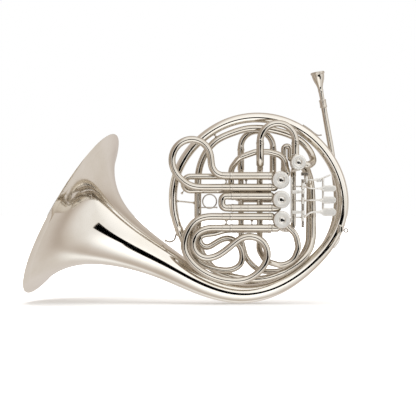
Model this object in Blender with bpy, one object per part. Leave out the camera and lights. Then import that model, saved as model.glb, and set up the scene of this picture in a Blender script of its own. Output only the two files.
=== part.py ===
"""French horn with four rotary valves, modelled in Blender as separate solids.

Places are in millimetres from the centre of the big loop, X towards the levers, Y towards the back,
Z up. The finished objects are in metres from the point where the left hand holds the loop.
"""

import math

import bmesh
import bpy
import numpy as np
from mathutils import Matrix, Vector

MM = 0.001
GRIP = np.array([149.5, 0.0, 8.0])  # centre of the loop tube inside the left hand
GAP = 0.4  # clear space between two neighbouring pieces
BEND_STEP = math.radians(30)  # largest turn between two rings of a tube
STRAIGHT_STEP = 70.0  # largest distance between two rings

# Bell and the body tube that carries on from it
MOUTH_RADIUS = 160.4
FLARE_LENGTH = 60.3
FLARE_POWER = 1.2
BELL_WALL = 0.6
BELL_SEAM = 410.0  # where the bell ends, along the centreline
BELL_SIDES = 32
RIM_BEAD = 2.0
TAIL_RADIUS = 10.5  # at TAIL_START, narrowing evenly over TAIL_RUN to TAIL_STEP over the inner crook's
TAIL_START = 540.0
TAIL_RUN = 581.8
TAIL_STEP = 0.8
TAIL_SIDES = 12
TAIL_RINGS = 25
SETTLE = 3.0  # the last rings of a joint are this far apart, so that its faces stay square
TAIL_WALL = 0.6

# Plain tubes
TUBE_RADIUS = 6.1
LEFT_X = -104.0  # where the upper crook runs upright on the left
TUBE_WALL = 0.5
THIN_RADIUS = 5.3
SLIM_RADIUS = 5.0
LEAD_RADIUS = 5.3
SIDES = 8

# Slides: an inner leg runs inside a sleeve with this much radial play
PLAY = 0.4
FRONT_SLEEVE = 6.6
REAR_SLEEVE = 5.9
SLEEVE_WALL = 0.4
RING_EXTRA = 0.4
RING_LENGTH = 4.0
SLEEVE_SIDES = 10
FRONT_Y = -39.0
REAR_Y = -22.0
BRACE_RADIUS = 1.2
BOW_BRACE = 6.8  # from the sleeve's mouth out to the post across a bow's legs
BOW_WELD = 0.45  # how deep that post's ends sit in the bow's wall
RING_RADIUS = 12.0
WIRE_RADIUS = 1.1

# Rotary valves
CASING_RADIUS = 15.0
CHANGE_RADIUS = 13.5
CASING_WALL = 3.5
CASING_FRONT = -47.0
CASING_BACK = -12.0
BACK_WALL = 5.0
ROTOR_PLAY = 0.3
ROTOR_SHORT = 1.0  # end play of a rotor between its cap and its back wall
STEM_RADIUS = 3.0
ARM_REACH = 11.0
ARM_THICK = 4.0
CAP_THICK = 4.5
VALVE_PLACES = {"1": (39.0, 42.0), "2": (40.0, 8.0), "3": (41.0, -27.0)}
CHANGE_PLACE = (69.5, 72.0)
SLIDE_END = 23.4  # where the valve slides' sleeves stop, short of the casings
STUB_REACH = 8.0

# Levers
HINGE_X = 77.0
HINGE_Y = -48.0
HINGE_RADIUS = 1.5
HUB_RADIUS = 3.2
HUB_LENGTH = 11.0
HUB_PLAY = 0.4
ARM_RADIUS = 1.8
CRANK_RADIUS = 1.5
CRANK_Y = -6.5
LINK_REACH = 13.0
PADDLE_Y = -54.0
PADDLE_THICK = 2.0
PADDLE_START = 106.0
PADDLE_END = 134.0
THUMB_X = 84.0
THUMB_Y = -28.0

FINISHES = {
    "polished_nickel_silver": ((0.72, 0.69, 0.64, 1.0), 0.12),
    "satin_nickel": ((0.80, 0.79, 0.75, 1.0), 0.42),
    "plated_steel": ((0.62, 0.60, 0.57, 1.0), 0.25),
}


# ---------------------------------------------------------------- materials and objects


def material(name, finish):
    colour, roughness = FINISHES[finish]
    made = bpy.data.materials.new(f"{name}_{finish}")
    made.use_nodes = True
    shader = made.node_tree.nodes["Principled BSDF"]
    shader.inputs["Base Color"].default_value = colour
    shader.inputs["Metallic"].default_value = 1.0
    shader.inputs["Roughness"].default_value = roughness
    return made


def mesh_from(vertices, faces):
    """A closed mesh in millimetres from the loop's centre, with its faces turned outwards."""
    mesh = bpy.data.meshes.new("shape")
    mesh.from_pydata([tuple(map(float, v)) for v in vertices], [], faces)
    bm = bmesh.new()
    bm.from_mesh(mesh)
    bmesh.ops.recalc_face_normals(bm, faces=bm.faces)
    if bm.calc_volume(signed=True) < 0:
        bmesh.ops.reverse_faces(bm, faces=bm.faces)
    bm.to_mesh(mesh)
    bm.free()
    return mesh


def publish(name, mesh, finish, pivot=GRIP):
    """Puts the mesh in the scene as a node whose origin is the pivot, in metres from the grip."""
    pivot = np.asarray(pivot, float)
    mesh.transform(Matrix.Translation(Vector(-pivot)))
    mesh.transform(Matrix.Scale(MM, 4))
    mesh.shade_smooth()
    mesh.set_sharp_from_angle(angle=math.radians(35))
    mesh.name = name
    mesh.materials.clear()
    mesh.materials.append(material(name, finish))
    node = bpy.data.objects.new(name, mesh)
    node.location = Vector((pivot - GRIP) * MM)
    bpy.context.scene.collection.objects.link(node)
    return node


def fuse(adds, cuts=()):
    """One mesh: the first shape joined with the other adds, then cut by the cuts."""
    base = bpy.data.objects.new("fuse_base", adds[0])
    bpy.context.scene.collection.objects.link(base)
    helpers = []
    for operation, shapes in (("UNION", adds[1:]), ("DIFFERENCE", cuts)):
        for shape in shapes:
            helper = bpy.data.objects.new("fuse_helper", shape)
            bpy.context.scene.collection.objects.link(helper)
            helpers.append(helper)
            step = base.modifiers.new(operation, "BOOLEAN")
            step.operation = operation
            step.solver = "EXACT"
            step.object = helper
    graph = bpy.context.evaluated_depsgraph_get()
    made = bpy.data.meshes.new_from_object(base.evaluated_get(graph))
    for used in [base, *helpers]:
        bpy.data.objects.remove(used)
    return made


# ---------------------------------------------------------------- centrelines


def bent(corners, widest=1000.0):
    """Points along straight runs joined by tangent arcs, each as wide as its runs allow."""
    corners = [Vector(c) for c in corners]
    points = [corners[0]]
    for i in range(1, len(corners) - 1):
        here = corners[i]
        back = corners[i - 1] - here
        ahead = corners[i + 1] - here
        turn = math.pi - back.angle(ahead)
        if turn < math.radians(1):
            points.append(here)
            continue
        room_back = back.length * (1.0 if i == 1 else 0.5)
        room_ahead = ahead.length * (1.0 if i == len(corners) - 2 else 0.5)
        reach = min(room_back, room_ahead, widest * math.tan(turn / 2))
        radius = reach / math.tan(turn / 2)
        start = here + back.normalized() * reach
        inward = (back.normalized() + ahead.normalized()).normalized()
        centre = here + inward * (radius / math.cos(turn / 2))
        spoke = start - centre
        axis = back.cross(ahead) * -1.0
        for k in range(math.ceil(turn / BEND_STEP) + 1):
            part = turn * k / math.ceil(turn / BEND_STEP)
            points.append(centre + Matrix.Rotation(part, 3, axis) @ spoke)
    points.append(corners[-1])
    kept = [points[0]]
    for point in points[1:]:
        if (point - kept[-1]).length > 0.05:
            kept.append(point)
    return np.array(kept)


def curved(knots, samples=600, thin=True):
    """Points along a natural cubic spline through the knots, closer together where it turns."""
    knots = np.asarray(knots, float)
    chord = np.linalg.norm(np.diff(knots, axis=0), axis=1)
    at = np.concatenate([[0.0], np.cumsum(chord)])
    count = len(knots)
    system = np.eye(count)
    right = np.zeros((count, 3))
    for i in range(1, count - 1):
        system[i, i - 1] = chord[i - 1]
        system[i, i] = 2 * (chord[i - 1] + chord[i])
        system[i, i + 1] = chord[i]
        after = (knots[i + 1] - knots[i]) / chord[i]
        before = (knots[i] - knots[i - 1]) / chord[i - 1]
        right[i] = 6 * (after - before)
    bend = np.linalg.solve(system, right)
    t = np.linspace(0, at[-1], samples)
    k = np.clip(np.searchsorted(at, t, side="right") - 1, 0, count - 2)
    h = chord[k][:, None]
    low = (at[k + 1] - t)[:, None] / h
    high = (t - at[k])[:, None] / h
    fine = low * knots[k] + high * knots[k + 1]
    fine += ((low**3 - low) * bend[k] + (high**3 - high) * bend[k + 1]) * h**2 / 6
    return thinned(fine) if thin else fine


def thinned(fine):
    """Keeps a point wherever the line has turned by BEND_STEP or run on for STRAIGHT_STEP."""
    legs = np.diff(fine, axis=0)
    size = np.linalg.norm(legs, axis=1)
    ways = legs / size[:, None]
    turn = np.arccos(np.clip((ways[1:] * ways[:-1]).sum(axis=1), -1, 1))
    cost = size / STRAIGHT_STEP
    cost[1:] += turn / BEND_STEP
    spent = np.concatenate([[0.0], cost])
    spent = np.cumsum(spent)
    marks = np.linspace(0, spent[-1], math.ceil(spent[-1]) + 1)
    return np.stack([np.interp(marks, spent, fine[:, axis]) for axis in range(3)], axis=1)


def along(points):
    """Distance of each point from the first, along the line."""
    return np.concatenate([[0.0], np.cumsum(np.linalg.norm(np.diff(points, axis=0), axis=1))])


def points_at(line, distances):
    """The points of the line at these distances from its start."""
    at = along(line)
    return np.stack([np.interp(distances, at, line[:, axis]) for axis in range(3)], axis=1)


def with_stations(points, distances):
    """The same line with extra points at these distances from its start."""
    at = along(points)
    wanted = np.unique(np.round(np.concatenate([at, np.clip(distances, 0, at[-1])]), 6))
    wanted = wanted[np.concatenate([[True], np.diff(wanted) > 0.02])]
    return np.stack([np.interp(wanted, at, points[:, axis]) for axis in range(3)], axis=1)


def ring_frames(points):
    """Two unit vectors across the line at each point, carried along it without twisting."""
    ways = np.gradient(points, axis=0)
    ways /= np.linalg.norm(ways, axis=1)[:, None]
    start = np.array([0.0, 1.0, 0.0]) if abs(ways[0][1]) < 0.9 else np.array([1.0, 0.0, 0.0])
    side = start - ways[0] * (start @ ways[0])
    sides = [side / np.linalg.norm(side)]
    for way in ways[1:]:
        side = sides[-1] - way * (sides[-1] @ way)
        sides.append(side / np.linalg.norm(side))
    sides = np.array(sides)
    return sides, np.cross(ways, sides)


# ---------------------------------------------------------------- shapes


def ring_rows(points, radii, sides):
    """One row of points round the line at each station."""
    across, over = ring_frames(points)
    angles = np.linspace(0, 2 * math.pi, sides, endpoint=False)
    circle = np.cos(angles)[None, :, None] * across[:, None]
    circle = circle + np.sin(angles)[None, :, None] * over[:, None]
    return points[:, None] + circle * np.asarray(radii, float)[:, None, None]


def bridge(rows, sides, first=0):
    """Faces between neighbouring rows of a grid that closes on itself."""
    faces = []
    for row in range(rows - 1):
        for i in range(sides):
            j = (i + 1) % sides
            low = first + row * sides
            faces.append((low + i, low + j, low + sides + j, low + sides + i))
    return faces


def profile_radii(points, profile):
    """Radius at each point, from one radius or from pairs of distance and radius."""
    if np.isscalar(profile):
        return np.full(len(points), float(profile))
    distances, radii = zip(*profile)
    return np.interp(along(points), distances, radii)


def rod(points, profile, sides=SIDES):
    """A solid round bar along the line."""
    points = np.asarray(points, float)
    if not np.isscalar(profile):
        points = with_stations(points, [d for d, _ in profile])
    rows = ring_rows(points, profile_radii(points, profile), sides)
    faces = bridge(len(points), sides)
    faces.append(tuple(range(sides)))
    faces.append(tuple(range((len(points) - 1) * sides, len(points) * sides)))
    return mesh_from(rows.reshape(-1, 3), faces)


def tube(points, profile, bore, sides=SIDES):
    """An open pipe along the line: profile gives its outside, bore its inside."""
    points = np.asarray(points, float)
    marks = [d for p in (profile, bore) if not np.isscalar(p) for d, _ in p]
    points = with_stations(points, marks) if marks else points
    outside = ring_rows(points, profile_radii(points, profile), sides)
    inside = ring_rows(points, profile_radii(points, bore), sides)
    count = len(points) * sides
    faces = bridge(len(points), sides) + bridge(len(points), sides, count)
    for row in (0, len(points) - 1):
        for i in range(sides):
            j = (i + 1) % sides
            low = row * sides
            faces.append((low + i, low + j, count + low + j, count + low + i))
    return mesh_from(np.concatenate([outside, inside]).reshape(-1, 3), faces)


def turned(profile, base, way, sides=16):
    """A lathe shape: pairs of (distance along the axis, radius), from one end of the axis to the other."""
    base = np.asarray(base, float)
    way = np.asarray(way, float) / np.linalg.norm(way)
    points = np.array([base + way * d for d, _ in profile])
    start = np.array([0.0, 1.0, 0.0]) if abs(way[1]) < 0.9 else np.array([1.0, 0.0, 0.0])
    across = start - way * (start @ way)
    across /= np.linalg.norm(across)
    over = np.cross(way, across)
    angles = np.linspace(0, 2 * math.pi, sides, endpoint=False)
    circle = np.cos(angles)[:, None] * across + np.sin(angles)[:, None] * over
    vertices, rows = [], []
    for point, (_, radius) in zip(points, profile):
        rows.append((len(vertices), 1 if radius == 0 else sides))
        vertices += [point] if radius == 0 else list(point + circle * radius)
    faces = []
    for (low, n_low), (high, n_high) in zip(rows, rows[1:]):
        for i in range(sides):
            j = (i + 1) % sides
            if n_low == 1:
                faces.append((low, high + i, high + j))
            elif n_high == 1:
                faces.append((low + i, low + j, high))
            else:
                faces.append((low + i, low + j, high + j, high + i))
    return mesh_from(vertices, faces)


def loop_ring(centre, radius, wire, around=18, sides=6):
    """A wire ring that lies in the XZ plane."""
    vertices = []
    for i in range(around):
        out = Vector((math.cos(2 * math.pi * i / around), 0, math.sin(2 * math.pi * i / around)))
        for j in range(sides):
            angle = 2 * math.pi * j / sides
            rise = Vector((0, wire * math.sin(angle), 0))
            vertices.append(centre + out * (radius + wire * math.cos(angle)) + rise)
    faces = bridge(around, sides)
    last = (around - 1) * sides
    faces += [(last + j, last + (j + 1) % sides, (j + 1) % sides, j) for j in range(sides)]
    return mesh_from(vertices, faces)


def disc(centre, way, start, end, radius, sides=24):
    """A plain cylinder from start to end along an axis through the centre."""
    return turned([(start, 0), (start, radius), (end, radius), (end, 0)], centre, way, sides)


def block(low, high):
    """A box between two opposite corners."""
    corners = [(x, y, z) for x in (low[0], high[0]) for y in (low[1], high[1]) for z in (low[2], high[2])]
    faces = [(0, 1, 3, 2), (4, 5, 7, 6), (0, 1, 5, 4), (2, 3, 7, 6), (0, 2, 6, 4), (1, 3, 7, 5)]
    return mesh_from(corners, faces)


# ---------------------------------------------------------------- bell and body tubes


def round_loop(angle, radius, y=0.0):
    """A place on the big loop, by its angle from +X and its distance from the centre."""
    return (radius * math.cos(math.radians(angle)), y, radius * math.sin(math.radians(angle)))


def body_line(thin=False):
    """Centreline from the bell's mouth, round the big loop, to where the tail meets the inner crook."""
    throat = [(-328.0, 39.5, -16.5), (-267.2, 29.2, -49.7), (-205.4, 19.2, -81.0)]
    throat += [(-153.1, 11.2, -108.3), (-109.5, 4.5, -131.9)]
    loop = [(-98, 158.0), (-76, 148.0), (-57, 141.5), (-40, 141.0), (-23, 145.0), (0, 149.6)]
    loop += [(25, 149.6), (48, 149.8), (73, 151.3), (92, 151.8), (110, 151.5), (128, 150.7)]
    loop += [(147, 150.7), (166, 149.5), (181, 147.0), (192, 145.0), (202, 143.6)]
    return curved(throat + [round_loop(*place) for place in loop], 3000, thin)


def body_radius(distance):
    """Outer radius at a distance from the mouth: a power-law flare that hands over to a straight taper."""
    flare = MOUTH_RADIUS * (FLARE_LENGTH / (distance + FLARE_LENGTH)) ** FLARE_POWER
    taper = (TAIL_RADIUS - TUBE_RADIUS - TAIL_STEP) / TAIL_RUN
    return np.maximum(flare, TAIL_RADIUS - taper * (distance - TAIL_START))


def make_bell():
    at = np.array([0, 1.5, 4, 5.5, 11, 19, 30, 45, 65, 92, 125, 165, 210, 255, 295, 325, 355, 383])
    at = np.append(at, [BELL_SEAM - SETTLE, BELL_SEAM])
    line = points_at(body_line(), at)
    outside = body_radius(at)
    slope = np.gradient(outside, at)
    inside = outside - BELL_WALL * np.sqrt(1 + slope**2)
    bead = np.interp(at, [0, 1.5, 4, 5.5], [0.6, RIM_BEAD, RIM_BEAD, 0.0], right=0.0)
    mesh = tube(line, list(zip(at, outside + bead)), list(zip(at, inside)), BELL_SIDES)
    publish("bell", mesh, "polished_nickel_silver")


def make_tail():
    whole = body_line()
    start, end = BELL_SEAM + 2 * GAP, along(whole)[-1]
    between = np.linspace(start + SETTLE, end - SETTLE, TAIL_RINGS)
    line = points_at(whole, np.concatenate([[start], between, [end]]))
    at = along(line)
    outside = body_radius(at + start)
    mesh = tube(line, list(zip(at, outside)), list(zip(at, outside - TAIL_WALL)), TAIL_SIDES)
    publish("bell_tail", mesh, "polished_nickel_silver")


def pipe(name, line, radius, sides=SIDES):
    publish(name, tube(line, radius, radius - TUBE_WALL, sides), "polished_nickel_silver")


def beside_change_valve(x, y, z, lean):
    """A crook's end on the line from the change valve to (x, z), with its rim a GAP from the casing.

    Lean is how much of the tube's radius its tilted rim takes towards the casing.
    """
    way = np.array([x - CHANGE_PLACE[0], z - CHANGE_PLACE[1]])
    way *= (CHANGE_RADIUS + GAP + lean * TUBE_RADIUS) / np.linalg.norm(way)
    return (CHANGE_PLACE[0] + way[0], y, CHANGE_PLACE[1] + way[1])


def make_inner_crook():
    """From the end of the bell tail, round inside it, up to the change valve."""
    end = body_line()
    way = (end[-1] - end[-2]) / np.linalg.norm(end[-1] - end[-2])
    start = end[-1] + way * 3 * GAP
    knots = [start, start + way * 8, round_loop(-144, 141.5, -3.0), round_loop(-123, 136.5, -8.5)]
    knots += [round_loop(-107, 133.0, -12.0), round_loop(-89, 130.5, -12.0), round_loop(-72, 127.5, -12.0)]
    knots += [round_loop(-53, 124.0, -10.0), (88.0, -7.0, -84.0), (95.0, -4.0, -66.0), (96.5, -2.0, -36.0)]
    knots += [(96.0, -1.0, 0.0), (94.5, -2.0, 28.0), (91.0, -8.0, 47.0)]
    knots.append(beside_change_valve(84.5, -19.0, 62.0, 0.677))
    pipe("inner_crook", curved(knots), TUBE_RADIUS)


def make_leadpipe():
    """From the mouthpiece receiver, behind the big loop, round the bottom and up the left side."""
    top = Vector((115.0, 18.0, 184.0))
    way = Vector((0.1755, 0.0, -0.9845))
    knots = [tuple(top + way * d) for d in (0, 30, 60, 84)]
    knots += [(136.0, 18.0, 55.0), (140.5, 18.0, 12.0), (138.0, 18.0, -22.0), (130.0, 19.5, -50.0)]
    knots += [(112.0, 21.0, -82.0), (84.0, 23.0, -112.0), (45.0, 25.0, -133.0), (0.0, 25.0, -140.0)]
    knots += [(-45.0, 25.0, -131.0), (-80.0, 24.0, -109.0), (-100.0, 15.0, -77.0), (-104.0, 3.0, -50.0)]
    knots += [(LEFT_X, 0.0, -36.0), (LEFT_X, 0.0, -24.0)]
    line = curved(knots, 1500)
    length = along(line)[-1]
    outside = [(0, 6.4), (14, 6.4), (14.5, LEAD_RADIUS - 0.6), (120, LEAD_RADIUS)]
    outside.append((length, TUBE_RADIUS))
    bore = [(0, 4.3), (24, 4.3), (26, 3.9), (120, LEAD_RADIUS - TUBE_WALL)]
    bore.append((length, TUBE_RADIUS - TUBE_WALL))
    publish("leadpipe", tube(line, outside, bore, 10), "polished_nickel_silver")


def make_upper_crook():
    """From the leadpipe's end up the left side and over the top to the change valve."""
    knots = [(LEFT_X, 0.0, -24.0 + 3 * GAP), (LEFT_X, 0.0, 0.0), (LEFT_X, 0.0, 30.0), (-102.5, 0.0, 56.0)]
    knots += [(-94.5, 0.0, 82.0), (-72.6, 0.0, 110.5), (-47.0, 0.0, 123.5), (-18.0, 0.0, 132.0)]
    knots += [(15.0, 0.0, 132.0), (48.0, 0.0, 124.5), (75.0, 0.0, 111.0), (91.5, -2.0, 93.0)]
    knots += [(96.5, -10.0, 80.0), (94.5, -24.0, 71.8), beside_change_valve(88.0, -35.5, 68.0, 0.825)]
    pipe("upper_crook", curved(knots), TUBE_RADIUS)


def make_valve_pipes():
    """The short fixed pipes between the valves."""
    arch = [(50.5, -18.0, 57.5), (46.0, -18.0, 84.0), (20.0, -18.0, 91.0), (-4.0, -18.0, 91.0)]
    arch += [(-32.0, -17.0, 81.0), (-46.0, -9.0, 62.0), (-46.0, -6.5, 8.0), (23.5, -6.5, 8.0)]
    pipe("arch_pipe", bent(arch, 22.0), THIN_RADIUS)
    hoop = [(46.0, -5.0, 58.5), (46.0, -5.0, 101.5), (57.0, -5.0, 101.5), (57.0, -5.0, 81.5)]
    pipe("hoop_pipe", bent(hoop), 4.8)
    drop = [(63.0, 4.0, 57.0), (63.0, 4.0, -44.0), (49.0, 4.0, -44.0)]
    pipe("drop_pipe", bent(drop, 9.0), 4.6)


# ---------------------------------------------------------------- slides


def sleeve_profile(length, radius, ring_at_start=True):
    """A sleeve with a reinforcing ring at its open mouth."""
    ring = radius + RING_EXTRA
    if ring_at_start:
        return [(0, ring), (RING_LENGTH, ring), (RING_LENGTH + 0.4, radius), (length, radius)]
    return [(0, radius), (length - RING_LENGTH - 0.4, radius), (length - RING_LENGTH, ring), (length, ring)]


def sleeve_pair(name, mouth, heights, y, radius, braces):
    """Two level sleeves from their mouths to the valve, joined by wire braces."""
    bore = radius - SLEEVE_WALL
    adds, cuts = [], []
    for z in heights:
        line = np.array([(mouth, y, z), (SLIDE_END, y, z)])
        adds.append(rod(line, sleeve_profile(SLIDE_END - mouth, radius), SLEEVE_SIDES))
        longer = np.array([(mouth - 1, y, z), (SLIDE_END + 1, y, z)])
        cuts.append(rod(longer, bore, SLEEVE_SIDES))
    for x in braces:
        adds.append(rod(np.array([(x, y, heights[0]), (x, y, heights[1])]), BRACE_RADIUS, 8))
    publish(name, fuse(adds, cuts), "polished_nickel_silver")


def slide_bow(name, line, radius, insert, braces=()):
    """A slide's crook with its two inner legs, thin where they run in the sleeves, and posts across them."""
    leg = radius - SLEEVE_WALL - PLAY
    bow = radius - 0.3
    length = along(line)[-1]
    outside = [(0, leg), (insert, leg), (insert + 0.4, bow), (length - insert - 0.4, bow)]
    outside += [(length - insert, leg), (length, leg)]
    mesh = tube(line, outside, leg - SLEEVE_WALL, SLEEVE_SIDES)
    _, y, high = line[0]
    low = line[-1][2]
    reach = bow - BOW_WELD
    posts = [rod(np.array([(x, y, high - reach), (x, y, low + reach)]), BRACE_RADIUS) for x in braces]
    publish(name, fuse([mesh, *posts]) if posts else mesh, "polished_nickel_silver", line[0])


def level_line(knots, inner_end, heights, y):
    """A crook through the knots between two level legs that run right to inner_end."""
    lead = [(inner_end, y, heights[0])]
    lag = [(inner_end, y, heights[1])]
    middle = curved([(x, y, z) for x, z in knots])
    return np.concatenate([lead, middle, lag])


def make_first_slide():
    heights = (49.0, 29.0)
    mouth = -48.0
    sleeve_pair("first_sleeves", mouth, heights, FRONT_Y, FRONT_SLEEVE, (1.0,))
    start = mouth - GAP
    knots = [(start, 49), (-55, 49), (-64, 50), (-73, 54.5), (-79.5, 65), (-81.5, 80)]
    knots += [(-86.5, 96), (-98, 107.5), (-113, 112), (-130, 108), (-144, 94), (-148.5, 76)]
    knots += [(-143.5, 57), (-131, 41.5), (-114, 31.5), (-94, 29), (-70, 29), (start, 29)]
    line = level_line(knots, 4.0, heights, FRONT_Y)
    slide_bow("first_slide", line, FRONT_SLEEVE, 4.0 - start, (mouth - BOW_BRACE,))


def make_second_slide():
    heights = (14.0, -6.6)
    mouth = -46.0
    sleeve_pair("second_sleeves", mouth, heights, FRONT_Y, FRONT_SLEEVE, (-29.0, 1.0))
    start = mouth - GAP
    u_turn = [(4.0, FRONT_Y, 14.0), (start, FRONT_Y, 14.0), (-62.5, FRONT_Y, 14.0)]
    u_turn += [(-62.5, FRONT_Y, -6.6), (start, FRONT_Y, -6.6), (4.0, FRONT_Y, -6.6)]
    slide_bow("second_slide", bent(u_turn), FRONT_SLEEVE, 4.0 - start)


def make_third_slide():
    heights = (-21.4, -41.2)
    mouth = -48.0
    sleeve_pair("third_sleeves", mouth, heights, FRONT_Y, FRONT_SLEEVE, (1.0,))
    start = mouth - GAP
    knots = [(start, -21.4), (-66, -21.4), (-86, -21.6), (-106, -28), (-119, -42), (-126, -58)]
    knots += [(-127, -76), (-111, -104), (-83, -123), (-50, -132), (-20, -130), (5, -113)]
    knots += [(16, -91), (10.5, -68), (-6, -57), (-25, -57.5), (-43, -69), (-62, -84)]
    knots += [(-79, -92), (-97, -91), (-110, -78), (-112, -64), (-107, -53), (-97, -45.5)]
    knots += [(-82, -41.5), (-66, -41.2), (start, -41.2)]
    line = level_line(knots, 4.0, heights, FRONT_Y)
    slide_bow("third_slide", line, FRONT_SLEEVE, 4.0 - start, (mouth - BOW_BRACE,))


def make_rear_slides():
    heights = (48.0, 24.0)
    mouth = -40.0
    sleeve_pair("first_rear_sleeves", mouth, heights, REAR_Y, REAR_SLEEVE, (-20.0,))
    start = mouth - GAP
    u_turn = [(0.0, REAR_Y, 48.0), (start, REAR_Y, 48.0), (-128.5, REAR_Y, 48.0)]
    u_turn += [(-128.5, REAR_Y, 24.0), (start, REAR_Y, 24.0), (0.0, REAR_Y, 24.0)]
    slide_bow("first_rear_slide", bent(u_turn), REAR_SLEEVE, -start)

    heights = (-22.0, -44.0)
    mouth = -36.0
    sleeve_pair("third_rear_sleeves", mouth, heights, REAR_Y, REAR_SLEEVE, (-10.0,))
    start = mouth - GAP
    knots = [(start, -22), (-60, -22), (-92, -22.5), (-109, -32), (-115, -52), (-115, -76)]
    knots += [(-108, -94), (-92, -106), (-70, -113), (-48, -114), (-31, -105), (-27, -86)]
    knots += [(-35, -68), (-50, -59.5), (-72, -66.5), (-90, -74), (-99, -68), (-100, -57.5)]
    knots += [(-91, -52.5), (-76, -50.5), (-60, -46), (start, -44)]
    line = level_line(knots, 4.0, heights, REAR_Y)
    slide_bow("third_rear_slide", line, REAR_SLEEVE, 4.0 - start)


def upright_slide(name, xs, y, mouth, top, depth, radius):
    """An arch above two upright sleeves."""
    corners = [(xs[0], y, mouth - depth), (xs[0], y, top), (xs[1], y, top), (xs[1], y, mouth - depth)]
    slide_bow(name, bent(corners), radius, depth + GAP)


def make_main_slide():
    """Front tuning slide; its left leg carries on as the return pipe to the third valve."""
    y = -31.0
    mouth = 107.5
    upright_slide("main_slide", (4.0, 65.0), y, mouth, 140.0, 20.0, FRONT_SLEEVE)
    corners = [(4.0, y, mouth), (4.0, y, 68.0), (4.5, 6.0, 50.0), (4.5, 6.0, -52.0)]
    corners += [(3.0, -4.0, -80.0), (14.0, -20.0, -99.0), (42.0, -25.0, -107.0), (62.0, -25.0, -98.0)]
    corners += [(71.0, -25.0, -75.0), (66.0, -25.0, -52.0), (53.0, -25.0, -40.0)]
    line = bent(corners, 24.0)
    length = along(line)[-1]
    outside = sleeve_profile(40.0, FRONT_SLEEVE) + [(41.0, THIN_RADIUS), (length, THIN_RADIUS)]
    bore = [(0, FRONT_SLEEVE - SLEEVE_WALL), (40.0, FRONT_SLEEVE - SLEEVE_WALL)]
    bore += [(41.0, THIN_RADIUS - TUBE_WALL), (length, THIN_RADIUS - TUBE_WALL)]
    publish("return_pipe", tube(line, outside, bore, SLEEVE_SIDES), "polished_nickel_silver")
    right = np.array([(65.0, y, mouth), (65.0, y, 86.6)])
    outside = sleeve_profile(along(right)[-1], FRONT_SLEEVE)
    mesh = tube(right, outside, FRONT_SLEEVE - SLEEVE_WALL, SLEEVE_SIDES)
    publish("main_sleeve", mesh, "polished_nickel_silver")


def make_rear_main_slide():
    """Rear tuning slide; its left leg carries on round the bottom to the change valve."""
    y = 14.0
    mouth = 98.0
    upright_slide("rear_main_slide", (-28.5, 28.0), y, mouth, 128.5, 26.0, REAR_SLEEVE)
    corners = [(-28.5, y, mouth), (-28.5, y, 60.0), (-28.0, y, -62.0), (-20.0, y, -94.0)]
    corners += [(2.0, 13.0, -118.0), (40.0, 12.5, -118.0), (74.0, 12.5, -100.0), (90.0, 12.5, -68.0)]
    corners += [(92.0, 13.0, 30.0), (84.0, 8.0, 60.0), (78.0, 2.0, 68.0)]
    line = bent(corners, 40.0)
    length = along(line)[-1]
    outside = sleeve_profile(38.0, REAR_SLEEVE) + [(39.0, SLIM_RADIUS), (length, SLIM_RADIUS)]
    bore = [(0, REAR_SLEEVE - SLEEVE_WALL), (38.0, REAR_SLEEVE - SLEEVE_WALL)]
    bore += [(39.0, SLIM_RADIUS - TUBE_WALL), (length, SLIM_RADIUS - TUBE_WALL)]
    publish("rear_pipe", tube(line, outside, bore, SLEEVE_SIDES), "polished_nickel_silver")
    right = np.array([(28.0, y, mouth), (28.0, y, 60.0)])
    outside = sleeve_profile(along(right)[-1], REAR_SLEEVE)
    mesh = tube(right, outside, REAR_SLEEVE - SLEEVE_WALL, SLEEVE_SIDES)
    publish("rear_main_sleeve", mesh, "polished_nickel_silver")


def make_pull_ring():
    """Finger ring on the second slide's bow: its eyelet is part of the ring."""
    y = FRONT_Y
    centre = Vector((-83.5, y, 5.0))
    ring = loop_ring(centre, RING_RADIUS, WIRE_RADIUS)
    bar = rod(np.array([(-98.0, y, -5.6), (-70.6, y, -5.6)]), WIRE_RADIUS, 6)
    publish("pull_ring", fuse([ring, bar]), "plated_steel", (-70.0, y, 5.0))


# ---------------------------------------------------------------- valves


def make_casing(name, place, radius, stubs):
    """A valve casing open at the front, with a wall at the back and a stub for each leg."""
    x, z = place
    centre = (x, 0.0, z)
    toward_back = (0, 1, 0)
    adds = [disc(centre, toward_back, CASING_FRONT, CASING_BACK, radius)]
    bore = radius - CASING_WALL
    cuts = [disc(centre, toward_back, CASING_FRONT - 1, CASING_BACK - BACK_WALL, bore)]
    wall = CASING_BACK - BACK_WALL
    cuts.append(disc(centre, toward_back, wall - 1, CASING_BACK + 1, STEM_RADIUS + GAP, 12))
    for leg_y, leg_z, leg_radius in stubs:
        start = SLIDE_END + GAP
        line = np.array([(start, leg_y, leg_z), (start + STUB_REACH, leg_y, leg_z)])
        adds.append(rod(line, leg_radius + 0.2, SLEEVE_SIDES))
        hole = np.array([(start - 1, leg_y, leg_z), (start + STUB_REACH - 0.8, leg_y, leg_z)])
        cuts.append(rod(hole, leg_radius - 1.6, SLEEVE_SIDES))
    publish(name, fuse(adds, cuts), "polished_nickel_silver")


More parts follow.
